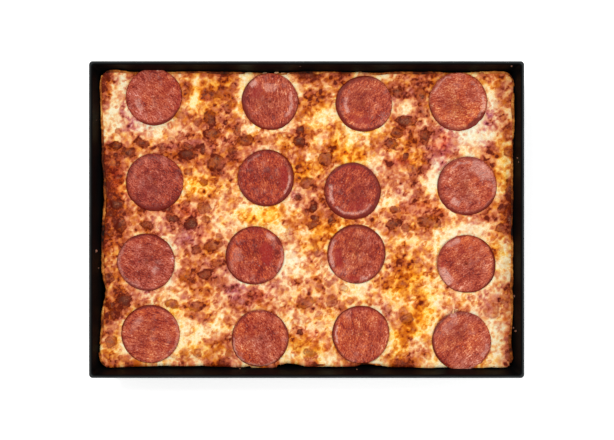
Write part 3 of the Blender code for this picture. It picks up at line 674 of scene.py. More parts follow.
# Soft zones where the cheese is browner
BROWN_ZONES = (
    (208, 74, 16, 5, 0.2), (304, 74, 14, 5, 0.9), (334, 74, 10, 5, 0.8), (420, 74, 22, 5, 0.6),
    (343, 75, 6, 6, 1.8), (300, 76, 7, 5, 0.7), (106, 80, 6, 10, 0.7), (505, 85, 10, 16, 0.2),
    (186, 90, 5, 8, 0.7), (332, 90, 6, 9, 0.3), (420, 90, 26, 16, 0.8), (104, 92, 5, 12, 1.1),
    (426, 94, 6, 6, 0.5), (317, 98, 9, 12, 0.6), (304, 106, 8, 6, 0.6), (488, 120, 6, 8, 1.4),
    (506, 121, 6, 16, 0.5), (492, 124, 6, 6, 0.5), (236, 126, 7, 6, 0.5), (266, 129, 8, 3, 0.9),
    (416, 132, 22, 16, 0.5), (205, 135, 22, 24, 0.2), (302, 136, 14, 12, 0.4), (440, 136, 8, 8, 0.3),
    (243, 142, 12, 8, 0.4), (412, 144, 5, 6, 0.6), (112, 149, 14, 7, 0.5), (156, 152, 8, 5, 0.7),
    (186, 152, 12, 8, 0.6), (508, 152, 4, 5, 0.3), (456, 154, 5, 4, 0.6), (233, 156, 6, 6, 0.7),
    (300, 156, 7, 6, 0.5), (330, 156, 14, 10, 0.3), (360, 156, 6, 5, 0.8), (490, 157, 7, 7, 0.9),
    (172, 158, 5, 5, 0.7), (184, 158, 6, 5, 0.7), (424, 158, 7, 6, 0.9), (238, 160, 6, 8, 0.8),
    (424, 172, 6, 6, 0.8), (492, 173, 5, 6, 1.0), (219, 174, 10, 6, 0.8), (326, 174, 6, 7, 0.9),
    (296, 176, 10, 10, 0.6), (121, 181, 5, 12, 0.7), (104, 182, 9, 28, 1.5), (316, 190, 5, 6, 0.7),
    (108, 200, 9, 20, 0.7), (494, 200, 5, 5, 0.3), (300, 202, 5, 5, 0.5), (160, 204, 7, 5, 0.7),
    (170, 204, 8, 6, 1.2), (511, 205, 7, 24, 1.0), (156, 206, 6, 4, 0.6), (156, 206, 6, 5, 0.5),
    (412, 206, 16, 6, 0.8), (490, 206, 5, 4, 0.5), (150, 207, 14, 5, 2.0), (331, 207, 6, 8, 0.5),
    (218, 208, 10, 6, 0.3), (424, 213, 20, 8, 0.3), (314, 215, 10, 16, 0.6), (443, 216, 5, 6, 0.8),
    (484, 216, 11, 5, 0.8), (218, 219, 8, 7, 0.7), (252, 219, 6, 4, 0.6), (340, 219, 10, 6, 0.8),
    (185, 220, 16, 10, 0.5), (444, 220, 6, 5, 0.5), (125, 222, 20, 12, 0.6), (174, 222, 5, 6, 0.6),
    (436, 228, 6, 4, 0.3), (246, 232, 5, 5, 0.6), (154, 233, 5, 4, 0.5), (104, 235, 9, 24, 0.6),
    (150, 235, 5, 4, 0.5), (162, 236, 14, 5, 0.5), (427, 236, 6, 6, 1.0), (330, 237, 6, 6, 0.5),
    (118, 238, 7, 6, 0.8), (300, 238, 6, 4, 0.5), (332, 238, 6, 6, 0.6), (320, 245, 8, 12, 0.3),
    (184, 246, 5, 6, 0.4), (170, 252, 5, 6, 0.4), (298, 252, 7, 6, 0.5), (308, 252, 10, 6, 0.6),
    (492, 252, 5, 7, 1.2), (174, 253, 4, 6, 0.9), (330, 253, 5, 6, 0.5), (396, 254, 6, 6, 0.4),
    (200, 258, 16, 20, 0.5), (228, 264, 7, 7, 0.6), (122, 266, 6, 14, 1.6), (400, 270, 14, 16, 0.5),
    (428, 270, 6, 6, 0.4), (186, 280, 7, 5, 1.3), (299, 283, 10, 5, 0.9), (236, 284, 6, 5, 0.9),
    (332, 284, 5, 5, 0.6), (382, 284, 7, 6, 0.5), (188, 285, 8, 6, 0.6), (138, 286, 5, 5, 0.5),
    (332, 286, 8, 6, 0.4), (508, 286, 4, 5, 1.0), (102, 288, 7, 14, 0.5), (236, 288, 7, 5, 0.6),
    (122, 290, 6, 6, 0.4), (412, 292, 6, 5, 0.3), (509, 300, 8, 22, 0.4), (204, 302, 5, 6, 0.5),
    (424, 302, 6, 6, 0.5), (118, 303, 16, 12, 0.7), (245, 304, 22, 8, 0.5), (300, 304, 18, 8, 0.5),
    (497, 306, 14, 10, 0.3), (118, 314, 6, 6, 0.6), (122, 316, 5, 5, 0.4), (202, 318, 5, 5, 0.5),
    (108, 325, 8, 14, 0.6), (220, 334, 5, 5, 0.5), (300, 334, 6, 5, 0.6), (328, 334, 6, 6, 0.6),
    (410, 334, 6, 6, 0.8), (511, 335, 5, 26, 0.5), (232, 342, 6, 4, 0.5), (233, 349, 6, 7, 0.7),
    (216, 363, 9, 4, 1.4), (314, 363, 6, 4, 1.4), (364, 363, 6, 4, 0.9), (132, 364, 14, 4, 0.3),
    (405, 364, 12, 4, 0.3),
)

# Blisters that stand out: across, down, half sizes, and how dark they are
DARK_BLISTERS = (
    (117, 146, 7, 5, 1.0), (129, 152, 7, 5, 0.9), (142, 143, 8, 4.5, 0.8), (163, 147, 6, 4, 0.7),
    (188, 155, 9, 6, 1.0), (189, 147, 8, 4, 0.7), (203, 149, 4, 6, 0.9), (210, 119, 6, 8, 0.86),
    (212, 134, 9, 5, 0.75), (205, 95, 4, 4, 0.7), (212, 94, 4, 4, 0.7), (220, 92, 4, 6, 0.6),
    (228, 107, 4, 6.5, 0.6), (197, 122, 5, 4, 0.7), (226, 123, 3, 3, 0.8), (185, 93, 6, 4, 0.5),
    (178, 114, 8, 4, 0.6), (216, 163, 9, 10, 0.8), (232, 151, 5, 3, 0.7), (118, 131, 3, 3, 0.6),
    (300, 130, 4, 4, 1.0), (300, 142, 6, 6, 0.9), (309, 131, 4, 4, 0.4), (245, 140, 8, 6, 0.78),
    (237, 131, 4, 6, 0.7), (282, 136, 5, 3, 0.5), (326, 159, 7, 7, 0.75), (368, 152, 4, 5, 0.4),
    (383, 140, 4, 6, 0.4), (265, 141, 4, 3, 0.4), (310, 78, 9, 6, 0.5), (303, 118, 9, 3.5, 0.4),
    (398, 93, 6, 5, 0.7), (406, 121, 10, 6, 0.9), (396, 133, 6, 5, 0.8), (390, 143, 7, 5, 0.8),
    (425, 137, 5, 9, 0.82), (421, 95, 5, 9, 0.6), (424, 113, 5, 5, 0.5), (406, 156, 3, 4, 0.9),
    (413, 172, 5, 11, 0.55), (432, 162, 4, 4, 0.4), (498, 104, 5, 5, 0.4), (508, 153, 4, 5, 0.7),
    (117, 204, 7, 6, 1.0), (121, 225, 5, 10, 0.8), (147, 225, 7, 5, 0.8), (173, 218, 6, 3.5, 0.9),
    (191, 223, 7, 6, 1.0), (188, 171, 4, 4, 0.7), (203, 182, 4, 4, 0.7), (204, 208, 7, 5, 0.7),
    (206, 219, 4, 4, 0.7), (188, 204, 3, 3, 0.6), (187, 193, 3, 3, 0.5), (196, 250, 5, 4, 0.7),
    (213, 246, 9, 5, 0.68), (220, 237, 4, 3, 0.6), (218, 265, 5, 4, 0.6), (183, 230, 5, 3, 0.5),
    (307, 183, 7, 6, 0.7), (298, 197, 4, 4, 0.7), (313, 208, 4, 5, 0.9), (315, 218, 5, 4, 0.8),
    (313, 226, 5, 4, 0.8), (306, 212, 3, 4, 0.6), (331, 220, 4, 5, 0.8), (316, 250, 4, 7, 0.5),
    (323, 262, 3, 5, 0.5), (290, 233, 4, 10, 0.4), (395, 210, 5, 4, 0.8), (393, 224, 9, 5, 0.9),
    (406, 228, 5, 4, 0.7), (429, 222, 12, 6, 0.7), (393, 183, 4, 5, 0.4), (417, 194, 5, 4, 0.5),
    (502, 209, 5, 5, 0.6), (501, 228, 5, 5, 0.7), (419, 263, 6, 4, 0.5), (124, 300, 8, 7, 1.0),
    (112, 314, 5, 5, 0.7), (111, 342, 5, 6, 0.7), (205, 274, 6, 5, 0.8), (186, 277, 7, 6, 0.5),
    (172, 304, 8, 4, 0.7), (197, 307, 8, 6, 0.66), (206, 321, 5, 3, 0.5), (185, 355, 4, 4, 0.5),
    (197, 353, 5, 4, 0.6), (229, 354, 4, 5, 0.6), (171, 288, 3, 3, 0.5), (218, 282, 4, 4, 0.5),
    (232, 290, 3, 3, 0.5), (109, 278, 5, 6, 0.8), (306, 303, 10, 6, 0.62), (319, 287, 4, 5, 0.5),
    (282, 290, 6, 4, 0.4), (329, 283, 5, 3, 0.5), (332, 301, 5, 7, 0.6), (344, 288, 4, 4, 0.6),
    (318, 315, 4, 4, 0.4), (300, 333, 3.5, 4, 1.0), (310, 353, 7, 3.5, 0.8), (297, 345, 4, 6, 0.4),
    (388, 309, 5, 5, 0.5), (407, 319, 6, 6, 0.7), (415, 291, 4, 4, 0.4), (402, 285, 4, 4, 0.5),
    (425, 305, 4, 4, 0.5), (457, 305, 3, 5, 0.4), (492, 310, 7, 9, 0.5), (502, 300, 5, 5, 0.5),
    (508, 355, 4, 6, 0.7), (402, 362, 12, 4, 0.45), (180, 137, 4, 4, 0.5),
    (171, 141, 4, 4, 0.5), (245, 300, 9, 5, 0.5), (258, 300, 7, 4, 0.5), (229, 192, 3, 4, 0.4),
    (112, 166, 6, 8, 0.4), (104, 190, 4, 12, 0.8), (510, 190, 4, 12, 0.8), (511, 222, 4, 12, 0.8),
)

# Round golden bubbles, paler than the dark blisters: across, down, half sizes
GOLD_BUBBLES = ((337, 136, 10, 14), (505, 218, 3, 5), (452, 222, 8, 5), (503, 180, 4, 7), (392, 165, 7, 5))

# Sauce showing through, then orange oil and cooler, pinkish cheese: across, down, half sizes, strength
SAUCE_ZONES = (
    (116, 180, 6, 15, 0.9), (188, 212, 8, 5, 0.7), (255, 297, 15, 8, 0.6), (310, 333, 7, 5, 0.7),
    (328, 345, 6, 6, 0.6), (443, 145, 8, 14, 0.8), (420, 209, 24, 6, 0.6), (165, 206, 12, 5, 0.4),
    (205, 235, 10, 5, 0.4), (400, 160, 12, 6, 0.4), (506, 320, 5, 10, 0.4), (150, 355, 14, 5, 0.4),
    (108, 250, 5, 12, 0.4), (240, 160, 8, 5, 0.3), (380, 300, 6, 6, 0.3), (460, 310, 10, 4, 0.4),
)
WARM_ZONES = (
    (208, 84, 18, 12, 0.5), (197, 102, 8, 10, 0.5), (316, 124, 12, 24, 0.4), (338, 142, 10, 14, 0.6),
    (353, 157, 14, 8, 1.1), (306, 170, 16, 9, 0.8), (203, 184, 16, 10, 0.7), (257, 217, 16, 6, 1.1),
    (276, 214, 14, 8, 0.6), (330, 229, 12, 7, 1.1), (316, 240, 10, 8, 0.4), (208, 252, 8, 6, 0.4),
    (396, 290, 12, 9, 1.1), (416, 278, 14, 9, 0.8), (424, 298, 12, 9, 0.7), (424, 315, 11, 9, 1.3),
    (414, 330, 10, 9, 0.9), (397, 342, 10, 14, 0.9), (304, 347, 20, 8, 0.6), (196, 350, 24, 8, 0.5),
    (114, 350, 12, 8, 0.5), (502, 148, 7, 22, 0.7), (500, 180, 8, 14, 0.5), (496, 248, 7, 12, 0.7),
    (388, 204, 10, 6, 0.5), (416, 156, 10, 6, 0.4), (172, 312, 8, 6, 0.6), (284, 144, 8, 6, 0.4),
    (404, 264, 12, 12, 0.4), (190, 190, 8, 8, 0.5), (268, 206, 10, 5, 0.5), (460, 82, 8, 6, 0.3),
    (400, 240, 8, 8, 0.4), (116, 184, 8, 14, 0.4), (112, 240, 8, 12, 0.4), (372, 134, 8, 8, 0.6),
)
COOL_ZONES = (
    (126, 118, 18, 12, 0.8), (146, 124, 14, 8, 1.0), (476, 130, 22, 18, 1.1), (489, 108, 9, 12, 0.6),
    (442, 145, 14, 24, 0.6), (413, 104, 14, 16, 0.5), (176, 140, 24, 12, 0.3), (258, 150, 14, 6, 0.4),
    (402, 194, 14, 12, 0.5), (174, 230, 16, 14, 0.6), (192, 240, 12, 10, 0.5), (294, 194, 8, 8, 0.7),
    (214, 266, 12, 10, 0.4), (237, 276, 12, 14, 0.9), (234, 296, 16, 10, 0.6), (272, 288, 14, 8, 0.6),
    (288, 262, 12, 14, 0.4), (338, 266, 7, 9, 1.0), (148, 294, 18, 10, 0.6), (470, 231, 18, 8, 0.6),
    (482, 316, 12, 10, 0.7), (488, 294, 12, 8, 0.4), (437, 170, 8, 12, 0.7), (375, 168, 8, 6, 0.7),
    (378, 312, 8, 8, 0.5), (392, 96, 8, 8, 0.4), (448, 312, 10, 6, 0.7), (232, 360, 8, 8, 0.8),
    (172, 276, 8, 8, 0.6), (322, 310, 6, 8, 0.2), (500, 335, 8, 20, 0.3), (124, 88, 8, 14, 0.5),
    (372, 144, 12, 8, 0.3), (150, 216, 16, 10, 0.4), (280, 124, 10, 6, 0.5),
)

# Burnt stretches of the pizza's edge along each side: centre and half length in photo pixels, and strength
BURNT_EDGES = {
    "left": ((150, 14, 0.4), (185, 26, 0.9), (232, 18, 0.7), (285, 12, 0.3)),
    "right": ((205, 20, 0.5), (228, 10, 0.5), (345, 18, 0.4)),
    "top": ((108, 6, 0.5), (195, 12, 0.3), (222, 10, 0.3), (303, 14, 0.7), (345, 8, 0.5), (425, 14, 0.4)),
    "bottom": ((104, 8, 0.3), (144, 16, 0.6), (186, 8, 0.4), (214, 10, 0.5), (283, 6, 0.8),
               (313, 9, 0.5), (358, 12, 0.8), (402, 14, 0.6), (508, 8, 0.4)),
}


def burnt_edge(x, y, half_x, half_y):
    """How burnt the pizza is at each point because of how near the edge it lies."""
    ragged = 1.3 * MM * rough_lumps(x, y, 5 * MM, SEED + 45)
    burn = 0.06 * np.exp(-np.minimum(half_x - np.abs(x), half_y - np.abs(y)) / (1.2 * MM))
    for side, stretches in BURNT_EDGES.items():
        upright = side in ("left", "right")
        gaps = {"left": half_x + x, "right": half_x - x, "top": half_y - y, "bottom": half_y + y}
        gap = gaps[side] - 1.5 * MM
        for middle, half, strength in stretches:
            centre = at_photo(0, middle)[1] if upright else at_photo(middle, 0)[0]
            along = ((y if upright else x) - centre) / (half * PIXEL)
            depth = np.clip(gap + ragged, 0, None) / ((2.0 + 1.4 * strength) * MM)
            burn = np.maximum(burn, strength * np.exp(-along ** 4) * np.exp(-depth ** 1.5))
    return burn


def cheese_sides():
    """The cheese's outline as four sides: the front, the right, the back and the left."""
    loop = flat_loop("cheese", CHEESE_BASE)
    half = np.abs(loop).max(axis=0)
    corners = []
    for sign_x, sign_y in ((-1, -1), (1, -1), (1, 1), (-1, 1)):
        lean = np.abs(loop[:, 0] * sign_x / half[0] - loop[:, 1] * sign_y / half[1])
        right_way = (loop[:, 0] * sign_x > 0) & (loop[:, 1] * sign_y > 0)
        corners.append(int(np.argmin(np.where(right_way, lean, 9.0))))
    sides = []
    for start, end in zip(corners, corners[1:] + corners[:1]):
        count = (end - start) % len(loop)
        sides.append(loop[[(start + i) % len(loop) for i in range(count + 1)]])
    return sides, half


def cheese_plan():
    """Places of a grid over the cheese, in rows from front to back, that ends at the cheese's outline."""
    sides, half = cheese_sides()
    columns, rows = (round(2 * size / CHEESE_STEP) for size in half)
    front, right = spaced(sides[0], columns, False), spaced(sides[1], rows, False)
    back, left = spaced(sides[2][::-1], columns, False), spaced(sides[3][::-1], rows, False)
    u = np.linspace(0, 1, columns)[None, :, None]
    v = np.linspace(0, 1, rows)[:, None, None]
    ends = ((1 - u) * (1 - v) * front[0] + u * (1 - v) * front[-1]
            + (1 - u) * v * back[0] + u * v * back[-1])
    plan = (1 - v) * front[None] + v * back[None] + (1 - u) * left[:, None] + u * right[:, None] - ends
    return plan[..., 0], plan[..., 1]


class Cheese:
    """The grid of points over the cheese, with the heights and colour masks at each of them."""

    def __init__(self):
        self.x, self.y = cheese_plan()
        self.rows, self.columns = self.x.shape
        tree = solid_tree("cheese")
        heights = [height_above(tree, x * TOP_PULL, y * TOP_PULL) for x, y in zip(self.x.flat, self.y.flat)]
        heights = np.array([CHEESE_LEVEL if height is None else height for height in heights])
        self.solid = blurred(heights.reshape(self.x.shape), CHEESE_SMOOTHING)
        for field in ("tone", "char", "sheen", "sauce", "warmth", "lift", "dark", "spots"):
            setattr(self, field, np.zeros(self.x.shape))
        self.blister = np.full(self.x.shape, NO_BLISTER)
        self.warped_x = self.x + self.warp(SEED + 1)
        self.warped_y = self.y + self.warp(SEED + 5)

    def warp(self, seed):
        """Small shifts that make the outlines of zones and spots uneven."""
        return (2.0 * MM * rough_lumps(self.x, self.y, 6 * MM, seed)
                + 0.75 * MM * lumps(self.x, self.y, 2.2 * MM, seed + 2))

    def near(self, place, reach):
        """The part of the grid near a place, and distances from it as shares of the reach."""
        span = 1.8 * max(reach[:2]) + 5 * MM
        columns = np.nonzero(np.abs(self.x[self.rows // 2] - place[0]) < span)[0]
        rows = np.nonzero(np.abs(self.y[:, self.columns // 2] - place[1]) < span)[0]
        if not len(columns) or not len(rows):
            return None, None
        part = (slice(rows[0], rows[-1] + 1), slice(columns[0], columns[-1] + 1))
        turn = reach[2] if len(reach) > 2 else 0.0
        across = self.warped_x[part] - place[0]
        up = self.warped_y[part] - place[1]
        along = across * math.cos(turn) + up * math.sin(turn)
        aside = up * math.cos(turn) - across * math.sin(turn)
        return part, np.hypot(along / reach[0], aside / reach[1])

    def raise_to(self, field, part, values):
        field[part] = np.maximum(field[part], values)

    def add_zone(self, field, row, scale=1.0):
        across, down, half_x, half_y, strength = row
        place = at_photo(across, down)
        part, away = self.near(place, (half_x * PIXEL * 1.25, half_y * PIXEL * 1.25))
        if part is not None:
            field[part] += scale * strength * np.exp(-1.1 * away ** 2.4)

    def add_spot(self, place, reach, brown, ring=0.0, lift=0.0):
        """A small browned blister; ring is how much darker its edge is than its middle."""
        part, away = self.near(place, reach)
        if part is None:
            return
        edge = np.exp(-((away - 0.85) / 0.28) ** 2)
        shape = brown * np.exp(-away ** 4) + ring * (edge - 0.9 * smooth(0.75 - away, 0.0, 0.5))
        self.spots[part] += shape * (1 - 0.6 * np.clip(self.spots[part], 0, 1))
        self.raise_to(self.lift, part, lift * np.clip(1 - away ** 2, 0, 1) ** 0.7)

    def add_blister(self, place, reach, dark, lift, draw):
        """A large dark blister with a brown surround, a darker edge and a greyish gleam on its top."""
        part, away = self.near(place, reach)
        if part is None:
            return
        self.spots[part] += 0.12 * np.exp(-(away / 1.6) ** 2) * (1 - 0.5 * np.clip(self.spots[part], 0, 1))
        edge = np.exp(-((away - 0.88) / 0.24) ** 2)
        inside = smooth(1.05 - away, 0.0, 0.35)
        self.raise_to(self.spots, part, (0.15 + 0.85 * dark ** 1.5) * inside)
        self.raise_to(self.spots, part, (0.3 + 0.6 * dark) * edge)
        nearer = 1.05 - away > self.blister[part]
        self.dark[part] = np.where(nearer & (away < 1.6), dark, self.dark[part])
        self.raise_to(self.blister, part, np.maximum(1.05 - away, NO_BLISTER))
        gleam = (place[0] + draw.uniform(-0.3, 0.3) * reach[0],
                 place[1] + draw.uniform(-0.2, 0.35) * reach[1])
        part_two, away_two = self.near(gleam, (reach[0] * 0.55, reach[1] * 0.5))
        if part_two is not None:
            self.raise_to(self.sheen, part_two, draw.uniform(0.3, 0.9) * smooth(1.1 - away_two, 0.0, 0.7))
        self.raise_to(self.lift, part, lift * np.clip(1 - away ** 2, 0, 1) ** 0.6)


def slice_circle(name):
    low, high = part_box(name)
    middle = (low + high) / 2
    return middle.x, middle.y, (high.x - low.x + high.y - low.y) / 4


def bake_level(cheese):
    """How browned the cheese is at each point, from pale at nothing to dark at one."""
    x, y = cheese.x, cheese.y
    bake = 0.5 + 0.26 * rough_lumps(x, y, 24 * MM, SEED + 11)
    zones = np.zeros_like(bake)
    for rows, scale in ((PALE_ZONES, -ZONE_STRENGTH), (BROWN_ZONES, ZONE_STRENGTH)):
        for row in rows:
            cheese.add_zone(zones, row, scale)
    return np.clip(bake + zones, -0.1, 1.2)


def crowded(taken, home, x, y, size):
    """Whether a spot would lie too close to one that is there already."""
    nearby = [spot for i in (-1, 0, 1) for j in (-1, 0, 1)
              for spot in taken.get((home[0] + i, home[1] + j), ())]
    return any(math.hypot(x - sx, y - sy) < SPOT_SPACING * (size + other) for sx, sy, other in nearby)


def scatter_spots(cheese, bake):
    """Small round browned spots all over, closer and darker where the cheese is more baked."""
    circles = [slice_circle(name) for name in SLICE_NAMES]
    taken = {}
    half_x, half_y = cheese.x.max(), cheese.y.max()
    for number in range(SPOT_TRIES):
        draw = random.Random(SEED + number)
        x, y = draw.uniform(-half_x, half_x), draw.uniform(-half_y, half_y)
        size = SPOT_SMALL + (SPOT_LARGE - SPOT_SMALL) * draw.random() ** 1.8
        chance = draw.random()
        column = int(np.argmin(np.abs(cheese.x[cheese.rows // 2] - x)))
        row = int(np.argmin(np.abs(cheese.y[:, cheese.columns // 2] - y)))
        level = float(bake[row, column])
        if chance > 0.3 + 0.9 * level:
            continue
        home = (int(x // SPOT_CELL), int(y // SPOT_CELL))
        hidden = any(math.hypot(x - cx, y - cy) < r - 1.0 * MM for cx, cy, r in circles)
        if hidden or crowded(taken, home, x, y, size):
            continue
        taken.setdefault(home, []).append((x, y, size))
        brown = min(0.36 + 0.22 * level + draw.uniform(-0.16, 0.22), 1.0)
        reach = (size * draw.uniform(0.85, 1.35), size * draw.uniform(0.75, 1.1), draw.uniform(0, math.pi))
        ring = draw.choice((0.0, 0.0, 0.1, 0.2, 0.35))
        cheese.add_spot((x, y), reach, brown, ring, lift=0.22 * size)
        if size > SPOT_CHAR_LEAST and draw.random() < 0.1 + 0.4 * level:
            smaller = (reach[0] * 0.8, reach[1] * 0.8, reach[2])
            cheese.add_blister((x, y), smaller, draw.uniform(0.0, 0.45), 0.3 * MM, draw)


def scatter_specks(cheese, draw):
    """Tiny brown specks, in the pale parts too."""
    half_x, half_y = cheese.x.max(), cheese.y.max()
    for _ in range(SPECK_COUNT):
        place = (draw.uniform(-half_x, half_x), draw.uniform(-half_y, half_y))
        size = draw.uniform(0.6, 1.3) * MM
        reach = (size * draw.uniform(0.9, 1.6), size, draw.uniform(0, math.pi))
        cheese.add_spot(place, reach, draw.uniform(0.15, 0.5), 0.0, 0.1 * size)


def evened(values, seen):
    """The same pattern, with its seen values spread evenly from nothing to one."""
    ordered = np.sort(values[seen])
    return np.interp(values, ordered, np.linspace(0.0, 1.0, len(ordered)))


def paint_oil(cheese):
    """Where sauce shows through, and where the cheese is more orange or pinker."""
    tints = (("sauce", SAUCE_ZONES, 1.0), ("warmth", WARM_ZONES, 1.0), ("warmth", COOL_ZONES, -1.0))
    for field, rows, scale in tints:
        for row in rows:
            cheese.add_zone(getattr(cheese, field), row, scale)
    x, y = cheese.x, cheese.y
    patches = rough_lumps(x, y, 7 * MM, SEED + 31)
    cheese.sauce = np.clip(cheese.sauce * (0.65 + 0.6 * patches) + 0.35 * smooth(patches, 0.2, 0.8), 0, 1)
    cheese.warmth += (0.55 * rough_lumps(x, y, 6 * MM, SEED + 37)
                      + 0.25 * rough_lumps(x, y, 20 * MM, SEED + 39))
    cheese.warmth = np.clip(cheese.warmth, -1.0, 1.3)


def paint_cheese(cheese, draw):
    """Fills in the colour masks of the cheese and raises its blisters."""
    bake = bake_level(cheese)
    x, y = cheese.x, cheese.y
    medium = rough_lumps(x, y, 8 * MM, SEED + 19)
    fine = rough_lumps(x, y, 3.0 * MM, SEED + 23)
    strands = (1.0 - np.abs(rough_lumps(cheese.warped_x, cheese.warped_y, 8 * MM, SEED + 27, 2))) ** 6
    creases = (1.0 - np.abs(rough_lumps(cheese.warped_x, cheese.warped_y, 6 * MM, SEED + 29, 2))) ** 10
    scatter_spots(cheese, bake)
    scatter_specks(cheese, draw)
    for across, down, half_x, half_y, dark in DARK_BLISTERS:
        reach = (half_x * PIXEL, half_y * PIXEL, draw.uniform(-0.3, 0.3))
        cheese.add_blister(at_photo(across, down), reach, dark, BLISTER_LIFT, draw)
    for across, down, half_x, half_y in GOLD_BUBBLES:
        cheese.add_spot(at_photo(across, down), (half_x * PIXEL, half_y * PIXEL, 0.0), 0.3, 0.2, BUBBLE_LIFT)
    pattern = 0.72 * bake + 0.22 * medium + 0.15 * fine - 0.2 * strands + 0.14 * creases + cheese.spots
    burn = burnt_edge(x, y, x.max(), y.max())
    pattern += 1.1 * burn
    cheese.char = np.maximum(cheese.char, 0.9 * smooth(burn, 0.35, 1.0))
    seen = np.ones_like(x, dtype=bool)
    for name in SLICE_NAMES:
        middle_x, middle_y, radius = slice_circle(name)
        away = np.hypot(x - middle_x, y - middle_y) - radius
        seen &= away > 0
        halo = np.exp(-((away - 2.0 * MM) / (1.5 * MM)) ** 2) * (0.5 + 0.6 * medium)
        pattern -= 0.35 * halo * (cheese.blister < 0.1)
        cheese.lift += 0.35 * MM * halo
    cheese.tone = evened(pattern, seen)
    paint_oil(cheese)


def keep_over_crust(x, y):
    """Draws the border of the grid back to the crust's outer side where it would pass over it."""
    tree = solid_tree("crust")
    sides = ((np.s_[0, :], 0, -1), (np.s_[:, -1], 1, 0), (np.s_[-1, :], 0, 1), (np.s_[:, 0], -1, 0))
    for line, right, back in sides:
        for i, place in enumerate(zip(x[line], y[line])):
            side = side_point(tree, place, (right, back), CRUST_SIDE_LEVEL)
            spare = (side[0] - place[0]) * right + (side[1] - place[1]) * back + CRUST_SIDE_LEAN
            if -MOST_DRAWN_BACK < spare < 0:
                x[line][i] += spare * right
                y[line][i] += spare * back


def spread_edge(cheese):
    """The grid's places with its border spread over the crust's lip, and how far each is raised there."""
    x, y = cheese.x.copy(), cheese.y.copy()
    edge = np.zeros(x.shape)
    edge[0, :] = edge[-1, :] = edge[:, 0] = edge[:, -1] = 1.0
    reach = FRICO_REACH * (0.7 + 0.5 * rough_lumps(x, y, 4 * MM, SEED + 43))
    reach_x = reach + RIGHT_REACH * (x > 0)
    gap_x = at_photo(FRONT_GAP[0], 0)[0]
    front = (y < 0) * (1.0 - np.exp(-((x - gap_x) / (FRONT_GAP[1] * PIXEL)) ** 4))
    reach_y = reach + np.where(y > 0, BACK_REACH, FRONT_REACH * front)
    x += np.sign(x) * reach_x * edge * (np.abs(x) > cheese.x.max() - EDGE_BAND)
    y += np.sign(y) * reach_y * edge * (np.abs(y) > cheese.y.max() - EDGE_BAND)
    keep_over_crust(x, y)
    raised = -EDGE_DROP * edge
    raised[0, :] += (EDGE_DROP + FRONT_LIFT) * front[0, :]
    raised[1, :] += 0.4 * FRONT_LIFT * front[1, :]
    return x, y, raised


def build_cheese(surface):
    cheese = Cheese()
    paint_cheese(cheese, random.Random(SEED))
    ripple = 0.28 * MM * rough_lumps(cheese.x, cheese.y, 3.0 * MM, SEED + 41, 2)
    sag = 0.25 * MM * cheese.sauce
    x, y, raised = spread_edge(cheese)
    height = cheese.solid + cheese.lift + ripple - sag + raised
    border = grid_border(cheese.rows, cheese.columns)
    first, count = x.size, len(border)
    under = np.column_stack([cheese.x.ravel()[border] * UNDER_PULL, cheese.y.ravel()[border] * UNDER_PULL,
                             np.full(count, CHEESE_BASE)])
    top = np.column_stack([x.ravel(), y.ravel(), height.ravel()])
    vertices = np.vstack([top, under, [[0, 0, CHEESE_BASE]]])
    faces = grid_faces(cheese.rows, cheese.columns, False)
    faces += belt(border, range(first, first + count)) + fan(first + count, first, count, below=True)
    masks = {name: np.concatenate([getattr(cheese, name).ravel(), np.full(count + 1, fill)])
             for name, fill in CHEESE_MASKS}
    new_piece("cheese_layer", vertices, faces, surface, ("cheese",), masks)


# Pepperoni

SLICE_RINGS = 28
SLICE_SPOKES = 176
TILT_STEP = 10 * MM
SEAT_PULL = 0.985
LEAST_THICKNESS = 0.6 * MM
SIDE_LIFT = 0.8 * MM
OUTLINE_WINDOW = 0.13
MEAT_LIGHT = -0.04
GRAIN_TURN = 2.39996
PATTERN_STEP = 0.31

# How light each slice is beside the others
SLICE_SHADES = (0.0, 0.0, -0.03, 0.14, -0.14, -0.17, -0.2, 0.04,
                -0.03, -0.07, -0.02, 0.02, 0.01, 0.05, 0.02, 0.08)

# How ruddy each slice is beside the others; less than nothing is dusty
SLICE_HUES = (-0.25, -0.15, 0.4, 0.3, -0.2, 0.4, 0.5, -0.1, -0.3, 0.4, 0.3, 0.2, 0.0, 0.1, 0.4, 0.1)

# How dark each slice's edge is to the right, the back, the left and the front
SLICE_EDGES = (
    (0.3, 0.0, 0.0, 0.6), (0.5, 0.1, 1.0, 0.7), (0.0, 0.8, 1.0, 0.6), (0.1, 0.1, 0.6, 0.9),
    (0.0, 0.5, 0.7, 1.0), (0.8, 0.5, 0.6, 0.5), (0.8, 0.5, 0.1, 1.0), (0.0, 0.6, 0.7, 0.9),
    (0.2, 0.6, 0.0, 0.5), (0.0, 0.4, 0.8, 0.3), (0.4, 0.8, 0.4, 0.6), (0.6, 0.3, 0.6, 0.4),
    (0.0, 0.5, 0.4, 0.2), (0.5, 0.3, 0.6, 0.3), (0.3, 0.5, 0.6, 0.0), (0.0, 0.7, 0.5, 0.0),
)

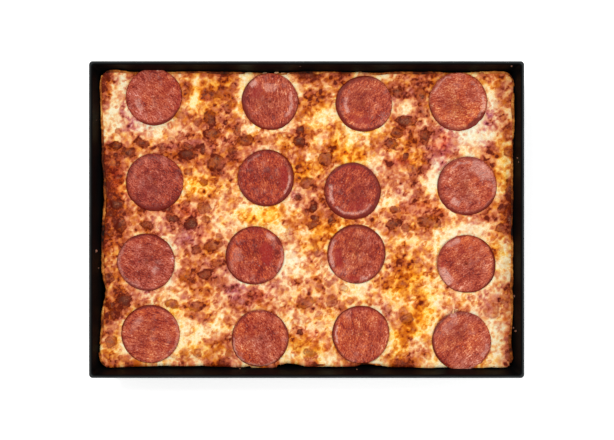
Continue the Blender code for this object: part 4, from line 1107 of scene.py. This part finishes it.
# Marks on the slices: kind, start and end in degrees, reach and half width by radius, strength; the pale arcs
# are painted highlights along the slices' glossy rims
SLICE_ARCS = {
    "pepperoni_01": (("dark", 250, 325, 0.97, 0.045, 0.8),
                     ("pale", 180, 225, 0.6, 0.1, 0.6), ("wet", -30, 20, 0.9, 0.05, 0.5)),
    "pepperoni_02": (("dark", 155, 235, 0.95, 0.05, 0.8), ("dark", 235, 300, 0.97, 0.04, 0.7),
                     ("pale", 60, 115, 0.5, 0.14, 0.6), ("wet", 120, 165, 0.55, 0.15, 0.9),
                     ("pale", -40, 25, 0.76, 0.05, 0.8), ("pale", 126, 142, 0.87, 0.09, 1.0)),
    "pepperoni_03": (("dark", 140, 300, 0.95, 0.06, 0.9),
                     ("pale", 158, 207, 0.64, 0.06, 0.9), ("wet", 225, 290, 0.6, 0.12, 0.8)),
    "pepperoni_04": (("pale", -38, 12, 0.86, 0.04, 0.9), ("dark", -66, -22, 0.92, 0.1, 1.0),
                     ("pale", 110, 160, 0.9, 0.025, 0.7), ("pale", 30, 60, 0.8, 0.05, 0.4)),
    "pepperoni_05": (("dark", 235, 320, 0.98, 0.07, 0.9), ("pale", 60, 150, 0.85, 0.08, 0.15)),
    "pepperoni_06": (("dark", 200, 345, 0.96, 0.05, 0.7),
                     ("pale", -38, 5, 0.86, 0.045, 1.0), ("wet", -30, 35, 0.66, 0.12, 0.9),
                     ("pale", 100, 150, 0.84, 0.04, 0.4)),
    "pepperoni_07": (("dark", 140, 335, 0.95, 0.055, 0.8), ("dark", 40, 120, 0.96, 0.05, 0.6),
                     ("pale", 165, 215, 0.78, 0.06, 0.9), ("pale", 225, 320, 0.8, 0.045, 0.8),
                     ("wet", 255, 330, 0.5, 0.15, 0.7), ("wet", 60, 130, 0.88, 0.08, 0.7)),
    "pepperoni_08": (("dark", 225, 325, 0.96, 0.05, 0.9),
                     ("pale", 15, 80, 0.72, 0.22, 0.7), ("pale", 225, 250, 0.66, 0.1, 1.0),
                     ("pale", 80, 130, 0.78, 0.04, 0.7), ("pale", -50, 15, 0.93, 0.05, 0.5)),
    "pepperoni_09": (("dark", 225, 300, 0.97, 0.035, 0.7),
                     ("pale", 300, 335, 0.4, 0.12, 0.7), ("pale", 150, 250, 0.93, 0.06, 0.4)),
    "pepperoni_10": (("dark", 140, 300, 0.97, 0.035, 0.7),
                     ("wet", -45, 50, 0.42, 0.2, 1.0), ("pale", 38, 62, 0.82, 0.08, 0.8),
                     ("dark", 22, 42, 0.95, 0.08, 1.0), ("pale", 160, 200, 0.6, 0.15, 0.4),
                     ("pale", -40, 18, 0.94, 0.04, 0.5)),
    "pepperoni_11": (("dark", 265, 275, 0.95, 0.06, 0.8), ("dark", -60, 20, 0.97, 0.03, 0.7),
                     ("pale", 150, 215, 0.88, 0.06, 0.9), ("wet", 160, 225, 0.64, 0.1, 1.0),
                     ("pale", 278, 296, 0.88, 0.06, 0.9), ("wet", 248, 278, 0.85, 0.07, 0.8)),
    "pepperoni_12": (("dark", -40, 60, 0.97, 0.03, 0.7),
                     ("pale", 190, 232, 0.84, 0.13, 1.0), ("wet", 178, 189, 0.82, 0.05, 1.0),
                     ("pale", 108, 140, 0.86, 0.09, 0.7)),
    "pepperoni_13": (("dark", 50, 140, 0.97, 0.035, 0.6),
                     ("pale", 120, 175, 0.6, 0.1, 0.3), ("wet", 300, 350, 0.8, 0.08, 0.4),
                     ("pale", -40, 40, 0.94, 0.04, 0.4)),
    "pepperoni_14": (("dark", 20, 150, 0.97, 0.035, 0.5),
                     ("pale", 180, 235, 0.94, 0.03, 1.0), ("pale", 235, 300, 0.95, 0.03, 0.8)),
    "pepperoni_15": (("dark", 150, 260, 0.97, 0.03, 0.5),
                     ("pale", 160, 198, 0.87, 0.028, 1.0), ("wet", 60, 110, 0.9, 0.06, 0.4)),
    "pepperoni_16": (("dark", 120, 230, 0.97, 0.035, 0.6),
                     ("pale", 100, 114, 0.9, 0.1, 1.0), ("pale", 95, 150, 0.66, 0.12, 0.6),
                     ("pale", 322, 350, 0.88, 0.06, 0.7), ("pale", 250, 300, 0.94, 0.03, 0.5)),
}


# How far each slice spreads over its seat in millimetres: all round, then more to the right and back
SLICE_SPREADS = (
    (0.8, -0.3, 1.5), (0.8, -0.1, -0.1), (0.6, 0.0, 0.3), (1.0, -0.1, -0.7),
    (1.0, -0.6, -0.2), (0.6, 0.1, 0.0), (0.7, 0.0, -0.3), (1.2, 0.1, -0.9),
    (0.8, -0.6, 0.3), (1.0, -0.3, -0.4), (1.1, -0.1, 0.0), (0.8, 0.2, -0.4),
    (0.9, -0.4, -0.5), (0.9, -0.9, -0.1), (0.6, -0.2, 0.1), (1.4, 0.5, -0.9),
)


def arc_share(shares, angles, start, end, reach, breadth, seed):
    """One along a stretch of a ring round the slice and nothing away from it, with a ragged outline."""
    middle, half = math.radians((start + end) / 2), math.radians((end - start) / 2)
    round_x, round_y = shares * np.cos(angles), shares * np.sin(angles)
    ragged = rough_lumps(round_x + 3, round_y + seed, 0.16, SEED + 63, 2)
    aside = np.abs((angles - middle + math.pi) % (2 * math.pi) - math.pi) / half
    along = smooth(1.2 - aside + 0.3 * ragged, 0.0, 0.35)
    across = np.abs(shares - reach + 0.05 * ragged) / breadth
    return along * smooth(1.35 - across, 0.0, 0.7)


def outline_reach(name, middle, angles):
    """How far the slice reaches from its middle at each angle, from its own corners, smoothed."""
    corners = np.array([v.co[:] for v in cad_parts[name].data.vertices])
    offset = corners[:, :2] - np.array(middle)
    distance = np.hypot(*offset.T)
    turned = np.arctan2(offset[:, 1], offset[:, 0])
    reach = []
    for angle in angles:
        aside = np.abs((turned - angle + math.pi) % (2 * math.pi) - math.pi)
        reach.append(distance[aside < OUTLINE_WINDOW].max())
    return blurred(np.vstack([reach, reach]), 5.0, wrap=True)[0]


class Disc:
    """A slice's place, tilt, seat and outline, read from its solid."""

    def __init__(self, name, number):
        self.name, self.number = name, number
        self.tree = solid_tree(name)
        self.x, self.y = slice_circle(name)[:2]
        self.base = height_below(self.tree, self.x, self.y)
        self.tilt_x = (height_below(self.tree, self.x + TILT_STEP, self.y) - self.base) / TILT_STEP
        self.tilt_y = (height_below(self.tree, self.x, self.y + TILT_STEP) - self.base) / TILT_STEP
        self.angles = np.linspace(0, 2 * math.pi, SLICE_SPOKES, endpoint=False)
        self.right, self.up = np.cos(self.angles), np.sin(self.angles)
        self.seat = outline_reach(name, (self.x, self.y), self.angles)
        spread, right, back = SLICE_SPREADS[number - 1]
        self.reach = self.seat + (spread + right * self.right + back * self.up) * MM
        self.reach += 0.4 * MM * rough_lumps(self.right + number, self.up, 0.5, SEED + 59, 2)
        self.shares = np.linspace(1.0, 0.0, SLICE_RINGS + 1)[:-1] ** 0.8

    def underside(self, x, y):
        return self.base + self.tilt_x * (x - self.x) + self.tilt_y * (y - self.y)


def slice_thickness(disc, x, y):
    """How far the slice's top is above its underside at each point of its grid."""
    underside = disc.underside(x, y)
    thickness = np.zeros_like(x)
    for i, j in np.ndindex(x.shape):
        pull = SEAT_PULL * min(disc.seat[j] / disc.reach[j], 1.0)
        top = height_above(disc.tree, disc.x + (x[i, j] - disc.x) * pull, disc.y + (y[i, j] - disc.y) * pull)
        thickness[i, j] = (top - underside[i, j]) if top is not None else LEAST_THICKNESS
    return blurred(thickness, 0.9, wrap=True)


def slice_rim_and_shade(disc, thickness):
    """How dark each point is near the slice's edge: a darker rim, stronger on some sides, and painted shade
    where the top slopes down at the edge.
    """
    right, back, left, front = SLICE_EDGES[disc.number - 1]
    dark = (right * np.clip(disc.right, 0, 1) ** 2 + left * np.clip(-disc.right, 0, 1) ** 2
            + back * np.clip(disc.up, 0, 1) ** 2 + front * np.clip(-disc.up, 0, 1) ** 2)
    dark = np.clip(dark + 0.15 * lumps(disc.right * 2 + disc.number, disc.up * 2, 0.5, SEED + 69), 0, 1)
    full = thickness.max()
    # Painted shade where the top slopes down towards the edge
    slant = 1.0 - smooth(thickness, 0.70 * full, 0.97 * full)
    inward = (1.0 - disc.shares)[:, None]
    breadth = 0.02 + 0.13 * dark
    edge_rim = (0.06 + 1.0 * dark) * (1.0 - smooth(inward, 0.3 * breadth, 1.8 * breadth))
    return np.clip((0.04 + 0.9 * dark) * slant + edge_rim, 0, 1)


def slice_masks(disc, x, y, thickness):
    """The colour masks at each point of the slice's top."""
    number = disc.number
    shifted = x + number * PATTERN_STEP
    ruddy = (SLICE_HUES[number - 1] + 0.7 * lumps(shifted, y, 15 * MM, SEED + 79)
             + 0.5 * lumps(x, y, 6 * MM, SEED + 83))
    light = 0.11 * lumps(shifted, y, 12 * MM, SEED + 75) + 0.06 * lumps(shifted, y, 5 * MM, SEED + 77)
    light += SLICE_SHADES[number - 1] + MEAT_LIGHT
    # The pale mask: paler patches, and arcs that are painted highlights
    marks = {
        "wet": 0.4 * smooth(lumps(shifted, y, 9 * MM, SEED + 71), 0.45, 0.95),
        "pale": 0.35 * smooth(rough_lumps(shifted, y, 6 * MM, SEED + 73), 0.15, 0.75),
        "dark": slice_rim_and_shade(disc, thickness),
    }
    ring_shares, ring_angles = np.broadcast_arrays(disc.shares[:, None], disc.angles[None])
    for kind, start, end, ring, width, strength in SLICE_ARCS[disc.name]:
        marks[kind] += strength * arc_share(ring_shares, ring_angles, start, end, ring, width, number)
    wet, pale = marks["wet"], marks["pale"]
    pale *= 1.0 - 0.8 * np.clip(wet, 0, 1) * (pale < 0.8)
    rim = np.clip(marks["dark"] * (1.0 - 0.85 * np.clip(pale - 0.4, 0, 1)), 0, 1)
    return {"rim": rim, "wet": np.clip(wet, 0, 1),
            "pale": np.clip(pale, 0, 1), "light": light, "ruddy": ruddy}


def slice_grain(disc, x, y):
    """Where the meat's texture is read at each point, turned and moved for each slice."""
    turn = disc.number * GRAIN_TURN
    right, up = x - disc.x, y - disc.y
    along = right * math.cos(turn) + up * math.sin(turn) + disc.number
    aside = up * math.cos(turn) - right * math.sin(turn)
    return np.column_stack([along.ravel(), aside.ravel(), np.full(x.size, disc.number * 0.5)])


def slice_faces():
    """The faces of a slice's top, of two belts down its side and of its underside."""
    hub = SLICE_RINGS * SLICE_SPOKES
    middle = hub + 1
    low = middle + SLICE_SPOKES
    rings = [range(first, first + SLICE_SPOKES) for first in (0, middle, low)]
    return (grid_faces(SLICE_RINGS, SLICE_SPOKES, True) + fan(hub, hub - SLICE_SPOKES, SLICE_SPOKES)
            + belt(rings[0], rings[1]) + belt(rings[1], rings[2])
            + fan(low + SLICE_SPOKES, low, SLICE_SPOKES, below=True))


def build_slice(name, surface, number):
    disc = Disc(name, number)
    x = disc.x + disc.shares[:, None] * disc.reach[None] * disc.right[None]
    y = disc.y + disc.shares[:, None] * disc.reach[None] * disc.up[None]
    thickness = slice_thickness(disc, x, y)
    shifted = x + number * PATTERN_STEP
    wrinkle = rough_lumps(shifted, y, 2.6 * MM, SEED + 61, 3)
    wave = lumps(shifted, y, 14 * MM, SEED + 67)
    inner = smooth(1.0 - disc.shares, 0.02, 0.12)[:, None]
    top = disc.underside(x, y) + thickness + inner * (0.10 * MM * wrinkle + 0.16 * MM * wave)
    rings = [np.column_stack([x.ravel(), y.ravel(), top.ravel()]), [[disc.x, disc.y, top[-1].mean()]]]
    for edge, lift in ((0.5 * (disc.seat + disc.reach), SIDE_LIFT), (SEAT_PULL * disc.seat, 0.0)):
        side_x, side_y = disc.x + edge * disc.right, disc.y + edge * disc.up
        rings.append(np.column_stack([side_x, side_y, disc.underside(side_x, side_y) + lift]))
    rings.append([[disc.x, disc.y, disc.base]])
    vertices = np.vstack(rings)
    extra = len(vertices) - x.size
    masks = slice_masks(disc, x, y, thickness)
    beyond = dict.fromkeys(masks, np.zeros(extra))
    # The side and underside take the edge's darkness as painted shade
    beyond["rim"] = np.concatenate([np.tile(masks["rim"][0], 2), [1.0, 1.0]])
    masks = {mask: np.concatenate([values.ravel(), beyond[mask]]) for mask, values in masks.items()}
    masks["grain"] = np.vstack([slice_grain(disc, x, y), np.zeros((extra, 3)) + [number, 0, 0]])
    piece_name = name.replace("pepperoni", "pepperoni_slice")
    new_piece(piece_name, vertices, slice_faces(), surface, (name,), masks)


# Crust

CRUST_SAMPLES = 1150
CRUST_TOP = 31.2 * MM
CRUST_FLOOR = 1.9 * MM
CRUST_BEND = 5.6 * MM
CRUST_MIDDLE = 20 * MM
LIP_FOOT = 33 * MM
LIP_LEVEL = 36 * MM
LIP_SHARES = (0.93, 0.8, 0.62, 0.42, 0.22, 0.05)


def level_ring(places, height):
    return np.column_stack([places, np.full(len(places), height)])


def crust_rings(inner, outward, crag):
    """Rings of points up the crust's outer side, over its lip and down to the ledge under the cheese."""
    tree = solid_tree("crust")
    low_side, middle_side, side = (np.array([side_point(tree, p, o, height) for p, o in zip(inner, outward)])
                                   for height in (CRUST_BEND, CRUST_MIDDLE, LIP_FOOT))
    rings = [level_ring(low_side - outward * 4 * MM, CRUST_FLOOR), level_ring(low_side, CRUST_BEND),
             level_ring(middle_side, CRUST_MIDDLE), level_ring(side, LIP_FOOT)]
    width = np.hypot(*(side - inner).T)
    top_heights = []
    for share in LIP_SHARES:
        places = inner + outward * (width * share)[:, None]
        top_heights.append(np.array([height_above(tree, *place) or LIP_LEVEL for place in places]))
    lean = np.maximum(top_heights[2] - LIP_FOOT, 0.0) * math.tan(WALL_SLOPE)
    bite = rough_lumps(*inner.T, 2.6 * MM, SEED + 87, 2)
    edge = side + outward * (lean - 0.35 * MM + 0.45 * MM * bite)[:, None]
    rings.append(np.column_stack([edge, top_heights[0] - 0.6 * MM]))
    for share, heights in zip(LIP_SHARES, top_heights):
        swell = math.sin(math.pi * share) ** 0.7
        lifted = heights + swell * (0.25 + 0.65 * crag) * MM
        rings.append(np.column_stack([inner + (edge - inner) * share, lifted]))
    rings.append(level_ring(inner, CRUST_TOP))
    return rings


def build_crust(surface):
    inner = spaced(flat_loop("crust", CRUST_TOP), CRUST_SAMPLES, True)
    ahead, behind = np.roll(inner, -6, axis=0), np.roll(inner, 6, axis=0)
    along = (ahead - behind) / np.hypot(*(ahead - behind).T)[:, None]
    outward = np.column_stack([along[:, 1], -along[:, 0]])
    crag = rough_lumps(*inner.T, 4.0 * MM, SEED + 81, 3)
    rings = crust_rings(inner, outward, crag)
    vertices = np.vstack(rings + [[[0, 0, CRUST_FLOOR]], [[0, 0, CRUST_TOP]]])
    low_hub, high_hub = len(vertices) - 2, len(vertices) - 1
    faces = grid_faces(len(rings), CRUST_SAMPLES, True)
    faces += fan(low_hub, 0, CRUST_SAMPLES, below=True)
    faces += fan(high_hub, low_hub - CRUST_SAMPLES, CRUST_SAMPLES)
    burn = burnt_edge(*inner.T, *inner.max(axis=0))
    toast = (0.68 + 0.3 * rough_lumps(*inner.T, 11 * MM, SEED + 91)
             + 0.3 * rough_lumps(*inner.T, 3 * MM, SEED + 93) - 0.8 * burn)
    masks = {"toast": np.concatenate([np.tile(toast + 0.12 * crag, len(rings)), [0.4, 0.4]])}
    new_piece("crust_slab", vertices, faces, surface, ("crust",), masks)


# Pan

SHEET = 1.6 * MM
FLOOR_BEND = 4.0 * MM
PAN_CORNER = 3.0 * MM
PAN_CORNER_STEPS = 10
PAN_BEND_STEPS = 8
PAN_BEAD_STEPS = 30
PAN_WALL_STEPS = 14
PAN_SIDE_STEPS = (72, 52)
# The brown band on the inner wall: baked-on grease and a painted reflection of the pizza
BROWN_BAND_DEPTH = 15 * MM
BROWN_BAND_BREADTH = 9 * MM


def wall_inset(height):
    """How far the wall's inner face stands in from the outside of the rim."""
    return 2 * BEAD_RADIUS + (RIM_HEIGHT - BEAD_RADIUS - height) * math.tan(WALL_SLOPE)


def bend_points(foot, radius, level):
    """Points round the bend between the base and a wall, from the base up."""
    points = []
    for step in range(PAN_BEND_STEPS + 1):
        angle = (math.pi / 2 - WALL_SLOPE) * step / PAN_BEND_STEPS
        inset = foot + radius * (math.cos(WALL_SLOPE) - math.sin(angle))
        points.append((inset, level + radius * (1 - math.cos(angle)), 0.0))
    return points


def wall_points(start, end):
    """Points along a straight stretch of wall, between its two ends."""
    points = []
    for step in range(1, PAN_WALL_STEPS):
        share = step / PAN_WALL_STEPS
        points.append((start[0] + (end[0] - start[0]) * share, start[1] + (end[1] - start[1]) * share, 0.0))
    return points


def bead_points():
    """Points round the rolled rim, from under its outside over the top to its inside."""
    points = []
    for step in range(PAN_BEAD_STEPS + 1):
        angle = -math.pi / 2 + 1.5 * math.pi * step / PAN_BEAD_STEPS
        # Painted reflection: lighter on the side of the bead that faces up and out
        painted_rim_gleam = float(smooth(math.sin(angle + math.radians(50)), 0.25, 0.85))
        height = RIM_HEIGHT - BEAD_RADIUS + BEAD_RADIUS * math.sin(angle)
        points.append((BEAD_RADIUS * (1 - math.cos(angle)), height, painted_rim_gleam))
    return points


def pan_profile():
    """Inset, height and painted-reflection share along the sheet's section, from its underside to its inner
    floor.
    """
    outer_bend = FLOOR_BEND + SHEET
    outer = bend_points(wall_inset(outer_bend) - SHEET, outer_bend, 0.0)
    bead = bead_points()
    inner_level = SHEET + FLOOR_BEND * (1 - math.cos(math.pi / 2 - WALL_SLOPE))
    inner_foot = wall_inset(inner_level)
    inner = bend_points(inner_foot, FLOOR_BEND, SHEET)[::-1]
    return (outer + wall_points(outer[-1], (BEAD_RADIUS, RIM_HEIGHT - 2 * BEAD_RADIUS))
            + bead + wall_points(bead[-1], (inner_foot, inner_level)) + inner)


def rounded_rectangle(inset):
    """Places round the pan's outline, drawn in by the inset."""
    half_x = PAN_LENGTH / 2 - inset - PAN_CORNER
    half_y = PAN_WIDTH / 2 - inset - PAN_CORNER
    centres = ((half_x, half_y), (-half_x, half_y), (-half_x, -half_y), (half_x, -half_y))
    runs = ((-2 * half_x, 0), (0, -2 * half_y), (2 * half_x, 0), (0, 2 * half_y))
    places = []
    for corner, (centre, run) in enumerate(zip(centres, runs)):
        for step in range(PAN_CORNER_STEPS + 1):
            angle = (corner + step / PAN_CORNER_STEPS) * math.pi / 2
            places.append((centre[0] + PAN_CORNER * math.cos(angle),
                           centre[1] + PAN_CORNER * math.sin(angle)))
        steps = PAN_SIDE_STEPS[corner % 2]
        start = places[-1]
        for step in range(1, steps):
            places.append((start[0] + run[0] * step / steps, start[1] + run[1] * step / steps))
    return np.array(places)


def build_pan(surface):
    rings, painted_rim_gleam, grease_and_reflection = [], [], []
    inner_start = PAN_BEND_STEPS + PAN_WALL_STEPS + PAN_BEAD_STEPS
    for number, (inset, height, rim_gleam_share) in enumerate(pan_profile()):
        ring = rounded_rectangle(inset)
        rings.append(np.column_stack([ring, np.full(len(ring), height)]))
        patches = rough_lumps(*ring.T, 22 * MM, SEED + 101)
        painted_rim_gleam.append(rim_gleam_share * (0.8 + 0.35 * rough_lumps(*ring.T, 9 * MM, SEED + 103)))
        # Inside, a brown band above the pizza: baked-on grease and a painted reflection of the pizza;
        # outside, patchy grease
        depth = RIM_HEIGHT - height - BROWN_BAND_DEPTH
        wall_brown_band = smooth(patches, -0.2, 0.8) * math.exp(-(depth / BROWN_BAND_BREADTH) ** 2)
        grease_and_reflection.append(wall_brown_band if number > inner_start else 0.25 * smooth(patches, 0.2, 0.9))
    count = len(rings[0])
    vertices = np.vstack(rings)
    faces = grid_faces(len(rings), count, True)
    faces.append(tuple(range(count - 1, -1, -1)))
    faces.append(tuple((len(rings) - 1) * count + i for i in range(count)))
    masks = {"painted_rim_gleam": np.clip(np.concatenate(painted_rim_gleam), 0, 1), "grease_and_reflection": np.clip(np.concatenate(grease_and_reflection), 0, 1)}
    new_piece("pan_shell", vertices, faces, surface, ("pan",), masks, sharp=60)


# Crumbs and stray bits of cheese stuck to the wall: across and down in photo pixels, radius in millimetres
WALL_CRUMBS = (
    (511.5, 65.5, 0.9), (95.5, 251, 1.1), (98, 268, 0.8), (515, 296, 1.0), (516.5, 331, 1.1), (514, 328, 0.7),
    (357, 370, 0.8), (240, 369, 0.6), (96, 120, 0.5), (518, 158, 0.7), (519, 162, 0.5), (300, 66, 0.5),
)

# Bits of pale cheese that stand up at the pizza's edge and beside slices: across and down in photo pixels,
# half length and half width in millimetres, and turn in degrees
CHEESE_BITS = (
    (264, 73, 1.8, 0.8, 20), (269, 72.5, 1.5, 0.8, -30), (276, 72.5, 2.0, 0.8, 10), (283, 73, 1.7, 0.7, -20),
    (288, 74, 1.3, 0.7, 50), (453.5, 311.5, 1.9, 1.3, 80), (457, 310, 1.0, 0.7, 20), (346, 362, 2.4, 1.0, 30),
    (353, 363.5, 1.8, 0.9, -30), (238, 362, 2.2, 0.9, -10), (434, 365, 1.6, 0.7, 10),
    (480, 366.5, 1.9, 0.7, -5),
)


def lump(bm, middle, half_sizes, turn, roughness, draw):
    """A small uneven lump added to a mesh being built."""
    made = bmesh.ops.create_icosphere(bm, subdivisions=2, radius=1.0)
    for vertex in made["verts"]:
        swell = 1 + roughness * draw.uniform(-1, 1)
        along, aside, up = (vertex.co[axis] * half_sizes[axis] * swell for axis in range(3))
        vertex.co = Vector((middle[0] + along * math.cos(turn) - aside * math.sin(turn),
                            middle[1] + along * math.sin(turn) + aside * math.cos(turn), middle[2] + up))


def lumps_piece(name, bm, surface):
    mesh = bpy.data.meshes.new(name)
    bm.to_mesh(mesh)
    bm.free()
    mesh.shade_smooth()
    add_piece(name, mesh, surface)


def build_crumbs(surface):
    """Crumbs on the pan's inner wall, where the photo's lines of sight meet it."""
    draw = random.Random(SEED + 7)
    bm = bmesh.new()
    wall = solid_tree("pan")
    eye = Vector((0.0, 0.0, CAMERA_HEIGHT))
    for across, down, size in WALL_CRUMBS:
        aim = Vector((*at_photo(across, down, 0.0), 0.0))
        spot, outward = wall.ray_cast(eye, (aim - eye).normalized())[:2]
        if spot is None or spot.z < CHEESE_LEVEL or spot.z > RIM_HEIGHT - 1.5 * BEAD_RADIUS:
            continue
        half_sizes = tuple(size * MM * draw.uniform(0.7, 1.15) for _ in range(3))
        lump(bm, spot + 0.5 * size * MM * outward, half_sizes, draw.uniform(0, math.pi), 0.3, draw)
    lumps_piece("crumbs", bm, surface)


def build_bits(surface):
    """Bits of cheese that stand up from the pizza."""
    draw = random.Random(SEED + 9)
    bm = bmesh.new()
    trees = [solid_tree("cheese"), solid_tree("crust")]
    for across, down, half_length, half_width, turn in CHEESE_BITS:
        x, y = at_photo(across, down, 38 * MM)
        heights = [height_above(tree, x * pull, y * pull) for tree in trees for pull in (1.0, 0.98)]
        height = max([h for h in heights if h is not None] or [CHEESE_LEVEL])
        for share in (-0.5, 0.1, 0.6):
            away = share * half_length * MM
            place = (x + away * math.cos(math.radians(turn)) * draw.uniform(0.8, 1.4),
                     y + away * math.sin(math.radians(turn)) + draw.uniform(-0.3, 0.3) * MM,
                     height + draw.uniform(-0.2, 0.3) * MM)
            half_sizes = (half_length * 0.6 * MM, half_width * draw.uniform(0.7, 1.1) * MM,
                          half_width * 0.5 * MM)
            lump(bm, place, half_sizes, math.radians(turn + draw.uniform(-25, 25)), 0.22, draw)
    lumps_piece("cheese_bits", bm, surface)


# Floor, lights and camera

FLOOR_SIZE = 12.0
FLOOR_DROP = 0.2 * MM
WORLD_STRENGTH = 0.54

# Place, width, power and colour of each light
LIGHTS = {
    "key_light": ((-0.52, 0.52, 1.6), 0.5, 13.1, (1.0, 0.99, 0.97)),
    "fill_light": ((1.0, -0.35, 1.2), 0.7, 7.0, (1.0, 1.0, 1.0)),
}


def build_floor():
    bpy.ops.mesh.primitive_plane_add(size=FLOOR_SIZE, location=(0, 0, -FLOOR_DROP))
    floor = bpy.context.object
    floor.name = "floor"
    floor.data.materials.append(floor_material())


def add_light(name, place, size, power, color):
    data = bpy.data.lights.new(name, "AREA")
    data.shape = "DISK"
    data.size = size
    data.energy = power
    data.color = color
    lamp = bpy.data.objects.new(name, data)
    lamp.location = place
    lamp.rotation_euler = (Vector((0, 0, RIM_HEIGHT)) - Vector(place)).to_track_quat("-Z", "Y").to_euler()
    lamp.visible_camera = False
    bpy.context.scene.collection.objects.link(lamp)


def build_lights():
    world = bpy.data.worlds.new("soft_studio")
    world.use_nodes = True
    background = world.node_tree.nodes["Background"]
    background.inputs["Color"].default_value = (1.0, 1.0, 1.0, 1.0)
    background.inputs["Strength"].default_value = WORLD_STRENGTH
    bpy.context.scene.world = world
    for name, settings in LIGHTS.items():
        add_light(name, *settings)


def build_camera():
    data = bpy.data.cameras.new("photo_camera")
    data.sensor_width = SENSOR_WIDTH
    data.sensor_fit = "HORIZONTAL"
    data.lens = SENSOR_WIDTH * CAMERA_ABOVE_RIM / (PHOTO_WIDTH * PIXEL)
    camera = bpy.data.objects.new("photo_camera", data)
    across = (PHOTO_WIDTH / 2 - PHOTO_PAN_MIDDLE[0]) * PIXEL
    up = (PHOTO_PAN_MIDDLE[1] - PHOTO_HEIGHT / 2) * PIXEL
    camera.location = (across, up, CAMERA_HEIGHT)
    bpy.context.scene.collection.objects.link(camera)
    bpy.context.scene.camera = camera


build_camera()
build_lights()
build_floor()
build_pan(pan_material())
build_crust(crust_material())
build_cheese(cheese_material())
meat = meat_material()
for number, slice_name in enumerate(SLICE_NAMES, start=1):
    build_slice(slice_name, meat, number)
build_crumbs(crumb_material())
build_bits(bit_material())
bpy.context.scene.view_settings.view_transform = "Standard"
